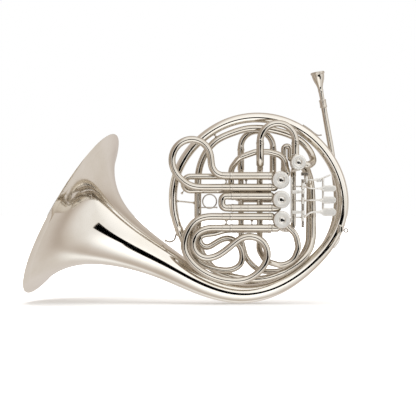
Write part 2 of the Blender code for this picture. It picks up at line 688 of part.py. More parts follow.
def make_rotor(name, place, radius, arm_angle):
    """A rotor with two passages, its stem and the stop arm at the back."""
    x, z = place
    centre = (x, 0.0, z)
    toward_back = (0, 1, 0)
    bore = radius - CASING_WALL
    core = bore - ROTOR_PLAY
    front = CASING_FRONT + 1.2
    back = CASING_BACK - BACK_WALL - ROTOR_SHORT
    arm_back = CASING_BACK + 8.5
    adds = [disc(centre, toward_back, front, back, core)]
    adds.append(disc(centre, toward_back, back - 1, arm_back, STEM_RADIUS, 12))
    reach = (x + ARM_REACH * math.cos(arm_angle), z + ARM_REACH * math.sin(arm_angle))
    arm_y = arm_back - ARM_THICK / 2 - 0.4
    adds.append(rod(np.array([(x, arm_y, z), (reach[0], arm_y, reach[1])]), ARM_THICK / 2, 8))
    cuts = []
    middle = (front + back) / 2
    for side in (-1, 1):
        height = z + side * core * 0.53
        passage = np.array([(x - radius, middle, height), (x + radius, middle, height)])
        cuts.append(rod(passage, core * 0.36, 8))
    publish(name, fuse(adds, cuts), "plated_steel", centre)


def make_cap(name, place, radius):
    """The bearing cap on the front of a casing: a flat ring with a domed centre."""
    front = CASING_FRONT - GAP
    profile = [(front, 0), (front, radius - 0.6), (front - CAP_THICK + 0.8, radius - 0.6)]
    profile += [(front - CAP_THICK, radius - 1.4), (front - CAP_THICK, radius * 0.44)]
    profile += [(front - CAP_THICK + 1.2, radius * 0.40), (front - CAP_THICK + 0.4, radius * 0.30)]
    profile += [(front - CAP_THICK - 0.2, radius * 0.16), (front - CAP_THICK - 0.3, 0)]
    publish(name, turned(profile, (place[0], 0.0, place[1]), (0, 1, 0), 20), "satin_nickel")


def make_valves():
    stubs = {
        "1": [(FRONT_Y, 49.0, FRONT_SLEEVE), (FRONT_Y, 29.0, FRONT_SLEEVE), (REAR_Y, 48.0, REAR_SLEEVE)],
        "2": [(FRONT_Y, 14.0, FRONT_SLEEVE), (FRONT_Y, -6.6, FRONT_SLEEVE)],
        "3": [(FRONT_Y, -21.4, FRONT_SLEEVE), (REAR_Y, -22.0, REAR_SLEEVE), (FRONT_Y, -41.2, FRONT_SLEEVE)],
    }
    for number, place in VALVE_PLACES.items():
        make_casing(f"valve_{number}_casing", place, CASING_RADIUS, stubs[number])
        make_rotor(f"valve_{number}_rotor", place, CASING_RADIUS, math.radians(45))
        make_cap(f"valve_{number}_cap", place, CASING_RADIUS)
    make_casing("change_valve_casing", CHANGE_PLACE, CHANGE_RADIUS, [])
    make_rotor("change_valve_rotor", CHANGE_PLACE, CHANGE_RADIUS, math.radians(-45))
    make_cap("change_valve_cap", CHANGE_PLACE, CHANGE_RADIUS)


# ---------------------------------------------------------------- levers


def make_bridge():
    """A strap beside the casings with two saddles that hold the levers' hinge rod."""
    strap = block((57.0, -46.0, -32.0), (59.0, -34.0, 47.0))
    upper_saddle = block((58.0, -51.0, 18.3), (80.0, -45.0, 24.0))
    lower_saddle = block((58.0, -51.0, -16.6), (80.0, -45.0, -11.0))
    hole = disc((HINGE_X, HINGE_Y, 0), (0, 0, 1), -40.0, 40.0, HINGE_RADIUS + GAP, 12)
    publish("lever_bridge", fuse([strap, upper_saddle, lower_saddle], [hole]), "satin_nickel")
    profile = [(-40.0, 0), (-40.0, 2.6), (-37.5, 2.6), (-37.5, HINGE_RADIUS)]
    profile += [(40.5, HINGE_RADIUS), (40.5, 2.6), (43.0, 2.6), (43.0, 0)]
    rod_mesh = turned(profile, (HINGE_X, HINGE_Y, 0), (0, 0, 1), 12)
    publish("hinge_rod", rod_mesh, "plated_steel")


def paddle(z, half_width):
    """A finger touch with a round end, seen as a flat plate facing forward."""
    outline = [(PADDLE_START, half_width * 0.35), (PADDLE_START + 8, half_width)]
    end = PADDLE_END - half_width
    turns = np.linspace(0, math.pi, 9)
    arc = [(end + half_width * math.sin(turn), half_width * math.cos(turn)) for turn in turns]
    outline += arc + [(PADDLE_START + 8, -half_width), (PADDLE_START, -half_width * 0.35)]
    count = len(outline)
    near, far = PADDLE_Y - PADDLE_THICK / 2, PADDLE_Y + PADDLE_THICK / 2
    vertices = [(x, y, z + w) for y in (near, far) for x, w in outline]
    faces = [tuple(range(count)), tuple(range(count, 2 * count))]
    faces += [(i, (i + 1) % count, count + (i + 1) % count, count + i) for i in range(count)]
    return mesh_from(vertices, faces)


def make_lever(number, hub_z, arm_z, half_width):
    """A finger lever: hub on the hinge rod, arm and touch to the right, crank and link to the back."""
    low, high = hub_z - HUB_LENGTH / 2, hub_z + HUB_LENGTH / 2
    hub = disc((HINGE_X, HINGE_Y, 0), (0, 0, 1), low, high, HUB_RADIUS, 14)
    arm_line = [(HINGE_X, HINGE_Y, hub_z), (HINGE_X + 12, PADDLE_Y, arm_z)]
    arm_line.append((PADDLE_START + 4, PADDLE_Y, arm_z))
    arm = rod(bent(arm_line, 8.0), ARM_RADIUS, 8)
    crank_line = [(HINGE_X, HINGE_Y, hub_z), (HINGE_X, CRANK_Y, hub_z)]
    crank_line.append((HINGE_X - LINK_REACH, CRANK_Y, hub_z))
    crank = rod(bent(crank_line, 4.0), CRANK_RADIUS, 8)
    hole = disc((HINGE_X, HINGE_Y, 0), (0, 0, 1), low - 1, high + 1, HINGE_RADIUS + HUB_PLAY, 12)
    mesh = fuse([hub, arm, crank, paddle(arm_z, half_width)], [hole])
    publish(f"lever_{number}", mesh, "satin_nickel", (HINGE_X, HINGE_Y, hub_z))


def make_thumb_lever():
    """The change valve's lever behind the finger touches, on its own pin."""
    profile = [(34.5, 0), (34.5, 2.6), (36.6, 2.6), (36.6, HINGE_RADIUS), (53.0, HINGE_RADIUS)]
    pin = turned(profile + [(53.0, 0)], (THUMB_X, THUMB_Y, 0), (0, 0, 1), 12)
    foot = block((75.0, -34.0, 49.5), (88.0, -23.5, 55.5))
    publish("thumb_bracket", fuse([foot, pin]), "plated_steel")
    hub = disc((THUMB_X, THUMB_Y, 0), (0, 0, 1), 37.5, 48.5, HUB_RADIUS, 14)
    arm = rod(np.array([(THUMB_X, THUMB_Y, 42.5), (104.0, -30.0, 42.0)]), 1.7, 8)
    touch = block((101.0, -31.2, 38.6), (110.5, -28.8, 45.0))
    bar = block((111.3, -34.0, -9.0), (114.7, -26.0, 45.0))
    tip = rod(np.array([(106.0, -30.0, 42.5), (126.0, -30.0, 51.0)]), 1.5, 8)
    hole = disc((THUMB_X, THUMB_Y, 0), (0, 0, 1), 36.0, 50.0, HINGE_RADIUS + HUB_PLAY, 12)
    mesh = fuse([hub, arm, touch, tip, bar], [hole])
    publish("thumb_lever", mesh, "satin_nickel", (THUMB_X, THUMB_Y, 42.5))


# ---------------------------------------------------------------- fittings


def make_mouthpiece():
    """Cup, throat and tapered shank; the shank's end sits inside the leadpipe's receiver."""
    way = np.array([0.1755, 0.0, -0.9845])
    top = np.array([106.2, 18.0, 233.0])
    outside = [(0, 10.2), (0.8, 12.4), (3.5, 12.5), (5.0, 11.2), (14, 9.6), (22, 6.6), (30, 4.6), (38, 4.3)]
    outside += [(49, 3.9), (68, 3.6)]
    bore = [(0, 9.0), (4, 8.4), (20, 5.2), (30, 2.4), (68, 2.9)]
    line = np.array([top, top + way * 68.0])
    mesh = tube(line, outside, bore, 14)
    publish("mouthpiece", mesh, "polished_nickel_silver", top)


def make_hook():
    """The little-finger hook in its clamp, with the thumb screw that holds it."""
    clamp = block((139.5, -17.5, -49.5), (148.5, -11.2, -37.0))
    stem_hole = disc((143.0, -14.4, 0), (0, 0, 1), -51.0, -36.0, 1.9, 12)
    screw_hole = disc((0, -14.4, -45.5), (1, 0, 0), 145.9, 150.0, 1.3, 10)
    publish("hook_clamp", fuse([clamp], [stem_hole, screw_hole]), "polished_nickel_silver")
    stem_line = [(143.0, -14.4, -35.0), (143.0, -14.4, -56.0), (142.0, -19.0, -62.0)]
    stem_line.append((131.0, -30.0, -76.0))
    stem = rod(bent(stem_line, 8.0), [(0, 1.5), (22, 1.5), (30, 4.2), (45, 3.6), (52, 2.2)], 10)
    publish("finger_hook", stem, "satin_nickel", (143.0, -14.4, -45.0))
    shank = disc((0, -14.4, -45.5), (1, 0, 0), 146.3, 151.0, 0.9, 10)
    head = turned([(-1.0, 0), (-1.0, 4.2), (1.0, 4.2), (1.0, 0)], (154.0, -14.4, -45.5), (0, 1, 0), 18)
    eye = disc((154.0, -14.4, -45.5), (0, 1, 0), -2.0, 2.0, 2.3, 14)
    publish("hook_screw", fuse([head, shank], [eye]), "plated_steel", (148.6, -14.4, -45.5))


def make_braces():
    """Short posts and wires that tie the tubes together, with a hair's gap at each tube."""
    whole = body_line()
    nearest = np.linalg.norm(whole - round_loop(121.5, 151.0), axis=1).argmin()
    rim = np.linalg.norm(whole[nearest]) - body_radius(along(whole)[nearest])
    post_line = np.array([round_loop(121.5, 133.3 + TUBE_RADIUS), round_loop(121.5, rim - GAP)])
    post = rod(post_line, [(0, 2.6), (1.0, 2.6), (1.2, 1.4), (along(post_line)[-1], 1.4)], 8)
    publish("top_brace", post, "polished_nickel_silver")
    left_line = np.array([(-138.0, 0.0, 5.4), (LEFT_X - TUBE_RADIUS - 0.7, 0.0, 2.5)])
    reach = along(left_line)[-1]
    foot = [(0, 3), (1.5, 3), (2, 1.4)]
    left = rod(left_line, foot + [(reach - d, r) for d, r in reversed(foot)], 8)
    publish("left_brace", left, "polished_nickel_silver")
    bell_corners = [(-142.5, -9.0, -54.0), (-145.0, -9.0, -63.0), (-153.0, -5.0, -66.0)]
    bell_wire = bent(bell_corners + [(-160.0, 0.0, -63.5)], 6.0)
    publish("bell_brace", rod(bell_wire, BRACE_RADIUS, 8), "plated_steel")
    lead_wire = bent([(93.5, 5.0, 130.5), (104.0, 10.0, 121.5), (112.0, 17.0, 121.5)], 8.0)
    publish("leadpipe_brace", rod(lead_wire, BRACE_RADIUS, 8), "plated_steel")


def main():
    for old in list(bpy.data.objects):
        bpy.data.objects.remove(old)
    make_bell()
    make_tail()
    make_inner_crook()
    make_leadpipe()
    make_upper_crook()
    make_valve_pipes()
    make_first_slide()
    make_second_slide()
    make_third_slide()
    make_rear_slides()
    make_main_slide()
    make_rear_main_slide()
    make_pull_ring()
    make_valves()
    make_bridge()
    make_lever("1", 31.0, 27.0, 5.4)
    make_lever("2", 6.0, 7.0, 6.2)
    make_lever("3", -23.0, -13.5, 6.9)
    make_thumb_lever()
    make_mouthpiece()
    make_hook()
    make_braces()


main()
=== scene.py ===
"""Finished surfaces of a double french horn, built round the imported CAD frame.

Every shape is worked out in millimetres from the centre of the big loop, X towards the levers, Y towards
the back and Z up, and is turned into metres from the left-hand grip when its mesh is written.
"""

import logging
import math
from dataclasses import dataclass, field
from enum import Enum
from typing import Sequence

import bpy
import numpy as np
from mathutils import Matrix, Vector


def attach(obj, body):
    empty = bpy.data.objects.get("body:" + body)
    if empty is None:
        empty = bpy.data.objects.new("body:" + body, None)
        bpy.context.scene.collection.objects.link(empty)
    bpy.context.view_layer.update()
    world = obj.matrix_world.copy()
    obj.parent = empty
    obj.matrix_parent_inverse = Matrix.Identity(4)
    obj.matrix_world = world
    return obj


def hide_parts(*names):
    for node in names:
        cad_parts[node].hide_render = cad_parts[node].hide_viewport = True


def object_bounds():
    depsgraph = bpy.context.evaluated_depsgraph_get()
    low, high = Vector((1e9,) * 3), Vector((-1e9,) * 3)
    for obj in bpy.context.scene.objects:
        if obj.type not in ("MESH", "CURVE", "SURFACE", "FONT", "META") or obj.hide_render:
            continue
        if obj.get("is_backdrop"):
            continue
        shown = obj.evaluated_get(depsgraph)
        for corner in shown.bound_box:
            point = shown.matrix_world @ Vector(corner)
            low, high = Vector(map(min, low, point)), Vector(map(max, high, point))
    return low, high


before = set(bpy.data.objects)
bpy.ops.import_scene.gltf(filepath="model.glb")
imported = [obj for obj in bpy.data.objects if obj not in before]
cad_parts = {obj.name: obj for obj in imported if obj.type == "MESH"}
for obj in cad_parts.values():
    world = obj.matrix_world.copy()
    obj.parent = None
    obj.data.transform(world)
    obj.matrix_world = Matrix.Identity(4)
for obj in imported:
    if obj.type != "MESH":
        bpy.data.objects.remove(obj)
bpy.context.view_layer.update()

LOG = logging.getLogger("french_horn")
Array = np.ndarray
Point = tuple[float, float, float]

MM = 0.001
MM_IN_CM = 10
SHARP_DEGREES = 34
# Centre of the loop tube inside the left hand, where the frame has its origin.
GRIP = np.array([149.5, 0.0, 8.0])
AXES = np.eye(3)


# ---------------------------------------------------------------- surfaces


@dataclass(frozen=True)
class Shell:
    """A closed surface as arrays: points, faces of four and three sides, and two coordinates per corner."""

    points: Array
    quads: Array
    tris: Array
    quad_uv: Array
    tri_uv: Array

    def volume(self) -> float:
        """Signed volume: a third of the sum over faces of corner . (corner x corner).

        Returns:
            The volume in cubic millimetres, below zero where the faces point inwards.
        """
        halves = np.concatenate([self.quads[:, [0, 1, 2]], self.quads[:, [0, 2, 3]], self.tris])
        a, b, c = (self.points[halves[:, k]] for k in range(3))
        return float(np.einsum("ij,ij->i", a, np.cross(b, c)).sum() / 6)

    def outward(self) -> "Shell":
        """The same surface with every face pointing outwards."""
        if self.volume() >= 0:
            return self
        return Shell(
            self.points, self.quads[:, ::-1], self.tris[:, ::-1], self.quad_uv[:, ::-1],
            self.tri_uv[:, ::-1]
        )

    def mesh(self, name: str) -> bpy.types.Mesh:
        """Writes the surface as a mesh in metres from the grip.

        Args:
            name: Name of the mesh.

        Returns:
            The mesh, smooth but for edges above SHARP_DEGREES, with its surface coordinates as a UV map.
        """
        made = bpy.data.meshes.new(name)
        made.from_pydata(
            ((self.points - GRIP) * MM).tolist(), [], self.quads.tolist() + self.tris.tolist()
        )
        layer = made.uv_layers.new(name="course")
        corners = np.concatenate([self.quad_uv.reshape(-1, 2), self.tri_uv.reshape(-1, 2)])
        layer.data.foreach_set("uv", corners.astype(np.float32).ravel())
        made.shade_smooth()
        made.set_sharp_from_angle(angle=math.radians(SHARP_DEGREES))
        return made


def joined(shells: Sequence[Shell]) -> Shell:
    """Several surfaces as one, each still closed.

    Args:
        shells: The surfaces.

    Returns:
        One surface that holds them all.
    """
    starts = np.cumsum([0] + [len(s.points) for s in shells[:-1]])
    return Shell(
        np.concatenate([s.points for s in shells]),
        np.concatenate([s.quads + n for s, n in zip(shells, starts)]),
        np.concatenate([s.tris + n for s, n in zip(shells, starts)]),
        np.concatenate([s.quad_uv for s in shells]),
        np.concatenate([s.tri_uv for s in shells]),
    )


def unit(vectors: Array) -> Array:
    """The vectors, each divided by its length."""
    vectors = np.asarray(vectors, float)
    return vectors / np.linalg.norm(vectors, axis=-1, keepdims=True)


def grid_shell(points: Array, closed: bool) -> Shell:
    """A surface over a grid that closes round its second side.

    Face (i, j) joins points (i, j), (i + 1, j), (i + 1, j + 1) and (i, j + 1). A first or last row
    whose points are all one place becomes a pole with three-sided faces. The surface coordinates are
    the distance run along the rows, in centimetres, and the share of a turn.

    Args:
        points: The grid, rows by sides by three.
        closed: Whether the last row also joins the first.

    Returns:
        The surface, facing outwards.
    """
    rows, sides = points.shape[:2]
    gaps = np.linalg.norm(np.diff(points, axis=0), axis=2).mean(axis=1)
    travel = np.concatenate([[0.0], np.cumsum(gaps)]) / MM_IN_CM
    i, j = np.meshgrid(np.arange(rows if closed else rows - 1), np.arange(sides), indexing="ij")
    i, j = i.ravel(), j.ravel()
    low, high, after = i * sides, (i + 1) % rows * sides, (j + 1) % sides
    quads = np.stack([low + j, high + j, high + after, low + after], axis=1)
    here, there = travel[i], np.append(travel, travel[-1] + 0.1)[i + 1]
    turn, next_turn = j / sides, (j + 1) / sides
    corners = ((here, turn), (there, turn), (there, next_turn), (here, next_turn))
    uv = np.stack([np.stack(pair, axis=1) for pair in corners], axis=1)
    flat = points.reshape(-1, 3)
    tris, tri_uv = np.empty((0, 3), int), np.empty((0, 3, 2))
    if not closed:
        spread = np.linalg.norm(points - points[:, :1], axis=2).max(axis=1)
        for row, dropped in ((0, 3), (rows - 1, 2)):
            if spread[row] > 1e-6:
                continue
            touching = (i == 0) if row == 0 else (i == rows - 2)
            kept = [k for k in range(4) if k != dropped]
            tris = np.concatenate([tris, quads[touching][:, kept]])
            tri_uv = np.concatenate([tri_uv, uv[touching][:, kept]])
            quads, uv, i = quads[~touching], uv[~touching], i[~touching]
            pole = row * sides
            tris = np.where((tris >= pole) & (tris < pole + sides), pole, tris)
    used, index = np.unique(np.concatenate([quads.ravel(), tris.ravel()]), return_inverse=True)
    quads_new = index[: quads.size].reshape(-1, 4)
    tris_new = index[quads.size :].reshape(-1, 3)
    return Shell(flat[used], quads_new, tris_new, uv, tri_uv).outward()


def carry(
    centres: Array, ways: Array, across: Array, over: Array, sides: int, closed: bool,
    power: float = 1.0
) -> Shell:
    """Carries an oval section along a line.

    Point (i, j) is centre_i + across_i c_j A_i + over_i s_j B_i, where c and s are the cosine and sine
    of the j-th angle raised to the power, signs kept, A is the fixed axis that leans least along the
    line, made square to it, and B is the way ahead crossed with A.

    Args:
        centres: Centres of the rows.
        ways: Unit direction of the line at each row.
        across: Half width of each row along A.
        over: Half width of each row along B.
        sides: Points round the section.
        closed: Whether the last row joins the first.
        power: 1 gives an oval, and less squares its corners off.

    Returns:
        The surface.
    """
    lean = np.abs(ways @ AXES).max(axis=0) + np.array([0.02, 0.0, 0.01])
    axis = AXES[int(lean.argmin())]
    first = unit(axis - ways * (ways @ axis)[:, None])
    second = np.cross(ways, first)
    angles = np.linspace(0, 2 * math.pi, sides, endpoint=False)
    c, s = np.cos(angles), np.sin(angles)
    c, s = np.sign(c) * np.abs(c) ** power, np.sign(s) * np.abs(s) ** power
    points = centres[:, None] + (np.asarray(across)[:, None] * c)[:, :, None] * first[:, None]
    points = points + (np.asarray(over)[:, None] * s)[:, :, None] * second[:, None]
    return grid_shell(points, closed)


def eased(corners: Sequence[tuple[float, float]], ease: float = 0.3, steps: int = 4) -> Array:
    """Rounds the corners of an open outline with short parabolas.

    Each corner C between A and B becomes (1 - t)^2 P + 2 t (1 - t) C + t^2 Q, where P and Q are the
    places on CA and CB at the easing distance from C, or at 0.45 of a shorter side.

    Args:
        corners: Pairs along the outline.
        ease: How far from the corner the rounding starts, in millimetres.
        steps: Points in each rounding.

    Returns:
        The outline's points.
    """
    c = np.asarray(corners, float)
    back, ahead = c[:-2] - c[1:-1], c[2:] - c[1:-1]
    size_back, size_ahead = np.linalg.norm(back, axis=1), np.linalg.norm(ahead, axis=1)
    start = c[1:-1] + back * (np.minimum(ease, 0.45 * size_back) / size_back)[:, None]
    end = c[1:-1] + ahead * (np.minimum(ease, 0.45 * size_ahead) / size_ahead)[:, None]
    t = np.linspace(0, 1, steps)[None, :, None]
    curve = (1 - t) ** 2 * start[:, None] + 2 * t * (1 - t) * c[1:-1][:, None] + t**2 * end[:, None]
    return np.concatenate([c[:1], curve.reshape(-1, 2), c[-1:]])


def turned(
    base: Sequence[float], way: Sequence[float], outline: Array, sides: int = 64, closed: bool = False
) -> Shell:
    """A lathe shape: each pair (d, r) of the outline becomes a circle of radius r at base + d way.

    Args:
        base: A place on the axis.
        way: The axis.
        outline: Pairs of distance along the axis and radius. It starts and ends at radius 0, or is closed.
        sides: Points round the axis.
        closed: Whether the outline closes on itself, which makes a ring or a pipe.

    Returns:
        The surface.
    """
    outline = np.asarray(outline, float)
    way = unit(np.asarray(way, float))
    centres = np.asarray(base, float) + outline[:, :1] * way
    ways = np.broadcast_to(way, centres.shape)
    return carry(centres, ways, outline[:, 1], outline[:, 1], sides, closed)


def slab(
    outline: Array, origin: Sequence[float], u: Sequence[float], v: Sequence[float], thick: float,
    edge: float, crown: float = 0.0
) -> Shell:
    """A plate with rounded edges and, where asked, a crowned front.

    Row k of the edge is the outline moved inwards by e (1 - cos a_k) at the height h sin a_k / e + e
    sin a_k, with a_k from -90 to 90 degrees; inside it the outline shrinks to its middle as 1 - s, and
    the front rises as crown (1 - (1 - s)^2).

    Args:
        outline: Pairs across the plate, anticlockwise round the middle.
        origin: Place of the pair (0, 0), halfway through the thickness.
        u: Direction of the first of each pair.
        v: Direction of the second.
        thick: Thickness.
        edge: Radius of the edges.
        crown: How much higher the front's middle is than its rim.

    Returns:
        The surface.
    """
    outline = np.asarray(outline, float)
    u, v = unit(np.asarray(u, float)), unit(np.asarray(v, float))
    w = np.cross(u, v)
    along = unit(np.roll(outline, -1, axis=0) - np.roll(outline, 1, axis=0))
    outwards = np.stack([along[:, 1], -along[:, 0]], axis=1)
    middle = outline.mean(axis=0)
    angles = np.linspace(-math.pi / 2, math.pi / 2, 9)
    inset = edge * (1 - np.cos(angles))
    height = (thick / 2 - edge) * np.sign(np.round(angles, 6)) + edge * np.sin(angles)
    height[4] = 0.0
    rim = outline[None] - outwards[None] * inset[:, None, None]
    shrink = np.array([0.0, 0.35, 0.7])
    back = middle + (rim[0] - middle)[None] * shrink[:, None, None]
    front = middle + (rim[-1] - middle)[None] * shrink[::-1][:, None, None]
    flat = np.concatenate([back, rim, front])
    heights = np.concatenate(
        [np.full(3, -thick / 2), height, thick / 2 + crown * (1 - shrink[::-1] ** 2)]
    )
    points = np.asarray(origin, float) + flat[..., :1] * u + flat[..., 1:] * v
    points = points + heights[:, None, None] * w
    return grid_shell(points, closed=False)


def box_outline(width: float, height: float, corner: float = 0.6, steps: int = 5) -> Array:
    """A rectangle with round corners, anticlockwise about its middle.

    Args:
        width: Its size along the first direction.
        height: Its size along the second.
        corner: Radius of the corners.
        steps: Points in each corner.

    Returns:
        The outline's pairs: corner centre plus the radius times the cosine and sine of the angle.
    """
    angle = np.linspace(0, math.pi / 2, steps)[None] + np.arange(4)[:, None] * math.pi / 2
    centre = np.array([[1, 1], [-1, 1], [-1, -1], [1, -1]]) * [width / 2 - corner, height / 2 - corner]
    return (centre[:, None] + corner * np.stack([np.cos(angle), np.sin(angle)], axis=2)).reshape(-1, 2)


# ---------------------------------------------------------------- centrelines


@dataclass(frozen=True)
class Course:
    """A centreline of closely spaced points."""

    points: Array

    @property
    def reach(self) -> Array:
        """Distance of each point from the first, along the line."""
        return np.concatenate([[0.0], np.cumsum(np.linalg.norm(np.diff(self.points, axis=0), axis=1))])

    @property
    def length(self) -> float:
        """Length of the whole line."""
        return float(self.reach[-1])

    def at(self, distances: Array) -> Array:
        """The places at these distances from the start."""
        return np.stack([np.interp(distances, self.reach, self.points[:, k]) for k in range(3)], axis=1)

    def ways(self, distances: Array) -> Array:
        """Unit directions at these distances, from the places 0.6 mm before and after."""
        distances = np.asarray(distances, float)
        return unit(
            self.at(np.minimum(distances + 0.6, self.length)) - self.at(np.maximum(distances - 0.6, 0))
        )

    def stations(self, turn: float = 6.0, run: float = 14.0) -> Array:
        """Distances for the rows of a surface, closer together where the line turns.

        Args:
            turn: Most degrees between two rows.
            run: Most millimetres between two rows.

        Returns:
            Distances, evenly spread over the sum of run and turn spent.
        """
        legs = np.diff(self.points, axis=0)
        size = np.linalg.norm(legs, axis=1)
        ways = legs / size[:, None]
        bend = np.arccos(np.clip((ways[1:] * ways[:-1]).sum(axis=1), -1, 1))
        cost = size / run
        cost[1:] += bend / math.radians(turn)
        spent = np.concatenate([[0.0], np.cumsum(cost)])
        return np.interp(np.linspace(0, spent[-1], math.ceil(spent[-1]) + 1), spent, self.reach)

    def rod(
        self, outline: Sequence[tuple[float, float]], sides: int = 24, flat: float = 1.0,
        power: float = 1.0, ease: float = 0.3
    ) -> Shell:
        """A solid bar along the line.

        Args:
            outline: Pairs of distance and half width.
            sides: Points round the bar.
            flat: Thickness as a share of the width.
            power: Below 1 the section's corners square off.
            ease: Rounding of the outline's corners.

        Returns:
            The surface, closed at both ends.
        """
        first, last = outline[0], outline[-1]
        ends = eased([(first[0], 0.0), *outline, (last[0], 0.0)], ease)
        distances, widths = self._rows(ends)
        return carry(
            self.at(distances), self.ways(distances), widths * flat, widths, sides, False, power
        )

    def _rows(self, outline: Array) -> tuple[Array, Array]:
        """The outline's own rows with the line's stations between them, as distances and half widths.

        Args:
            outline: Pairs of distance and half width.

        Returns:
            The distances along the line, and the half width at each of them.
        """
        stations = self.stations()
        rows = [outline[:1]]
        for low, high in zip(outline[:-1], outline[1:]):
            inside = stations[
                (stations > min(low[0], high[0]) + 0.3) & (stations < max(low[0], high[0]) - 0.3)
            ]
            if high[0] < low[0]:
                inside = inside[::-1]
            if len(inside):
                share = (inside - low[0]) / (high[0] - low[0])
                rows.append(np.stack([inside, low[1] + share * (high[1] - low[1])], axis=1))
            rows.append(high[None])
        whole = np.concatenate(rows)
        return whole[:, 0], whole[:, 1]

    def pipe(
        self, outside: Sequence[tuple[float, float]], inside: Sequence[tuple[float, float]],
        sides: int = 40, ease: float = 0.3
    ) -> Shell:
        """A wall along the line: out along its outside and back along its bore.

        Args:
            outside: Pairs of distance and outer radius.
            inside: Pairs of distance and bore radius.
            sides: Points round the pipe.
            ease: Rounding of the outside's corners.

        Returns:
            The surface, a ring in both directions.
        """
        section = np.concatenate([eased(outside, ease), np.asarray(inside, float)[::-1]])
        distances, radii = self._rows(section)
        return carry(self.at(distances), self.ways(distances), radii, radii, sides, True)


def straight(start: Sequence[float], end: Sequence[float]) -> Course:
    """A straight line from start to end."""
    share = np.linspace(0, 1, 41)[:, None]
    return Course(np.asarray(start, float) * (1 - share) + np.asarray(end, float) * share)


def arcs(corners: Sequence[Point], widest: float = 1000.0) -> Course:
    """Straight runs joined by tangent arcs, each as wide as its runs allow.

    On an arc the place is the arc's centre plus the radius times (cos a) S + (sin a) T, S towards the arc's
    start and T along the run that comes in.

    Args:
        corners: Where the runs would meet.
        widest: Largest radius of an arc.

    Returns:
        The line.
    """
    c = np.asarray(corners, float)
    parts = [c[:1]]
    for k in range(1, len(c) - 1):
        back, ahead = c[k - 1] - c[k], c[k + 1] - c[k]
        to_back, to_ahead = unit(back), unit(ahead)
        turn = math.pi - math.acos(float(np.clip(to_back @ to_ahead, -1, 1)))
        if turn < math.radians(1):
            parts.append(c[k : k + 1])
            continue
        room_back = np.linalg.norm(back) * (1.0 if k == 1 else 0.5)
        room_ahead = np.linalg.norm(ahead) * (1.0 if k == len(c) - 2 else 0.5)
        reach = min(room_back, room_ahead, widest * math.tan(turn / 2))
        radius = reach / math.tan(turn / 2)
        start = c[k] + to_back * reach
        centre = c[k] + unit(to_back + to_ahead) * radius / math.cos(turn / 2)
        spoke = unit(start - centre)
        a = np.linspace(0, turn, max(8, int(turn * radius)))[:, None]
        parts.append(centre + radius * (np.cos(a) * spoke - np.sin(a) * to_back))
    parts.append(c[-1:])
    whole = np.concatenate(parts)
    kept = np.concatenate([[True], np.linalg.norm(np.diff(whole, axis=0), axis=1) > 0.02])
    return Course(whole[kept])


def spline(knots: Sequence[Point], samples: int = 900) -> Course:
    """A natural cubic spline through the knots, spaced by the chords between them.

    Args:
        knots: Places on the line.
        samples: How many points to work out.

    Returns:
        The line.
    """
    k = np.asarray(knots, float)
    chord = np.linalg.norm(np.diff(k, axis=0), axis=1)
    at = np.concatenate([[0.0], np.cumsum(chord)])
    count = len(k)
    rows = np.arange(1, count - 1)
    system = np.eye(count)
    system[rows, rows - 1] = chord[:-1]
    system[rows, rows] = 2 * (chord[:-1] + chord[1:])
    system[rows, rows + 1] = chord[1:]
    slope = np.diff(k, axis=0) / chord[:, None]
    right = np.zeros((count, 3))
    right[1:-1] = 6 * np.diff(slope, axis=0)
    bend = np.linalg.solve(system, right)
    t = np.linspace(0, at[-1], samples)
    part = np.clip(np.searchsorted(at, t, side="right") - 1, 0, count - 2)
    h = chord[part][:, None]
    low, high = (at[part + 1] - t)[:, None] / h, (t - at[part])[:, None] / h
    line = low * k[part] + high * k[part + 1]
    return Course(line + ((low**3 - low) * bend[part] + (high**3 - high) * bend[part + 1]) * h**2 / 6)


def on_loop(angle: float, radius: float, y: float = 0.0) -> Point:
    """A place by its angle from +X and its distance from the big loop's centre."""
    return (radius * math.cos(math.radians(angle)), y, radius * math.sin(math.radians(angle)))


def ring(
    centre: Sequence[float], radius: float, wire: float, around: int = 72, sides: int = 16
) -> Shell:
    """A wire ring in the XZ plane: centre + (radius + wire cos b)(cos a, 0, sin a) + (0, wire sin b, 0).

    Args:
        centre: Middle of the ring.
        radius: Radius of the wire's centreline.
        wire: Radius of the wire.
        around: Number of stations round the ring.
        sides: Number of sides of the wire.

    Returns:
        The closed surface of the ring.
    """
    a = np.linspace(0, 2 * math.pi, around, endpoint=False)
    out = np.stack([np.cos(a), np.zeros(around), np.sin(a)], axis=1)
    b = np.linspace(0, 2 * math.pi, sides, endpoint=False)
    points = np.asarray(centre, float) + (radius + wire * np.cos(b))[None, :, None] * out[:, None]
    points = points + (wire * np.sin(b))[None, :, None] * AXES[1]
    return grid_shell(points, closed=True)


def coil(
    base: Sequence[float], way: Sequence[float], length: float, radius: float, wire: float, turns: float
) -> Shell:
    """A round-wire spring: base + way t length + radius (cos a, sin a), with a running through the turns.

    Args:
        base: Middle of the first turn.
        way: Direction of the spring's axis.
        length: Length along the axis.
        radius: Radius of the wire's centreline.
        wire: Radius of the wire.
        turns: Number of turns.

    Returns:
        The closed surface of the wire.
    """
    t = np.linspace(0, 1, int(turns * 22))[:, None]
    way = unit(np.asarray(way, float))
    side = unit(np.cross(way, AXES[1]))
    a = 2 * math.pi * turns * t
    spine = np.asarray(base, float) + way * t * length
    line = Course(spine + radius * (np.cos(a) * side + np.sin(a) * np.cross(way, side)))
    distances = np.concatenate([[0, 0], line.reach[1:-1], [line.length, line.length]])
    widths = np.concatenate([[0.0], np.full(len(line.points), wire), [0.0]])
    return carry_twisted(line, distances, widths, 8)


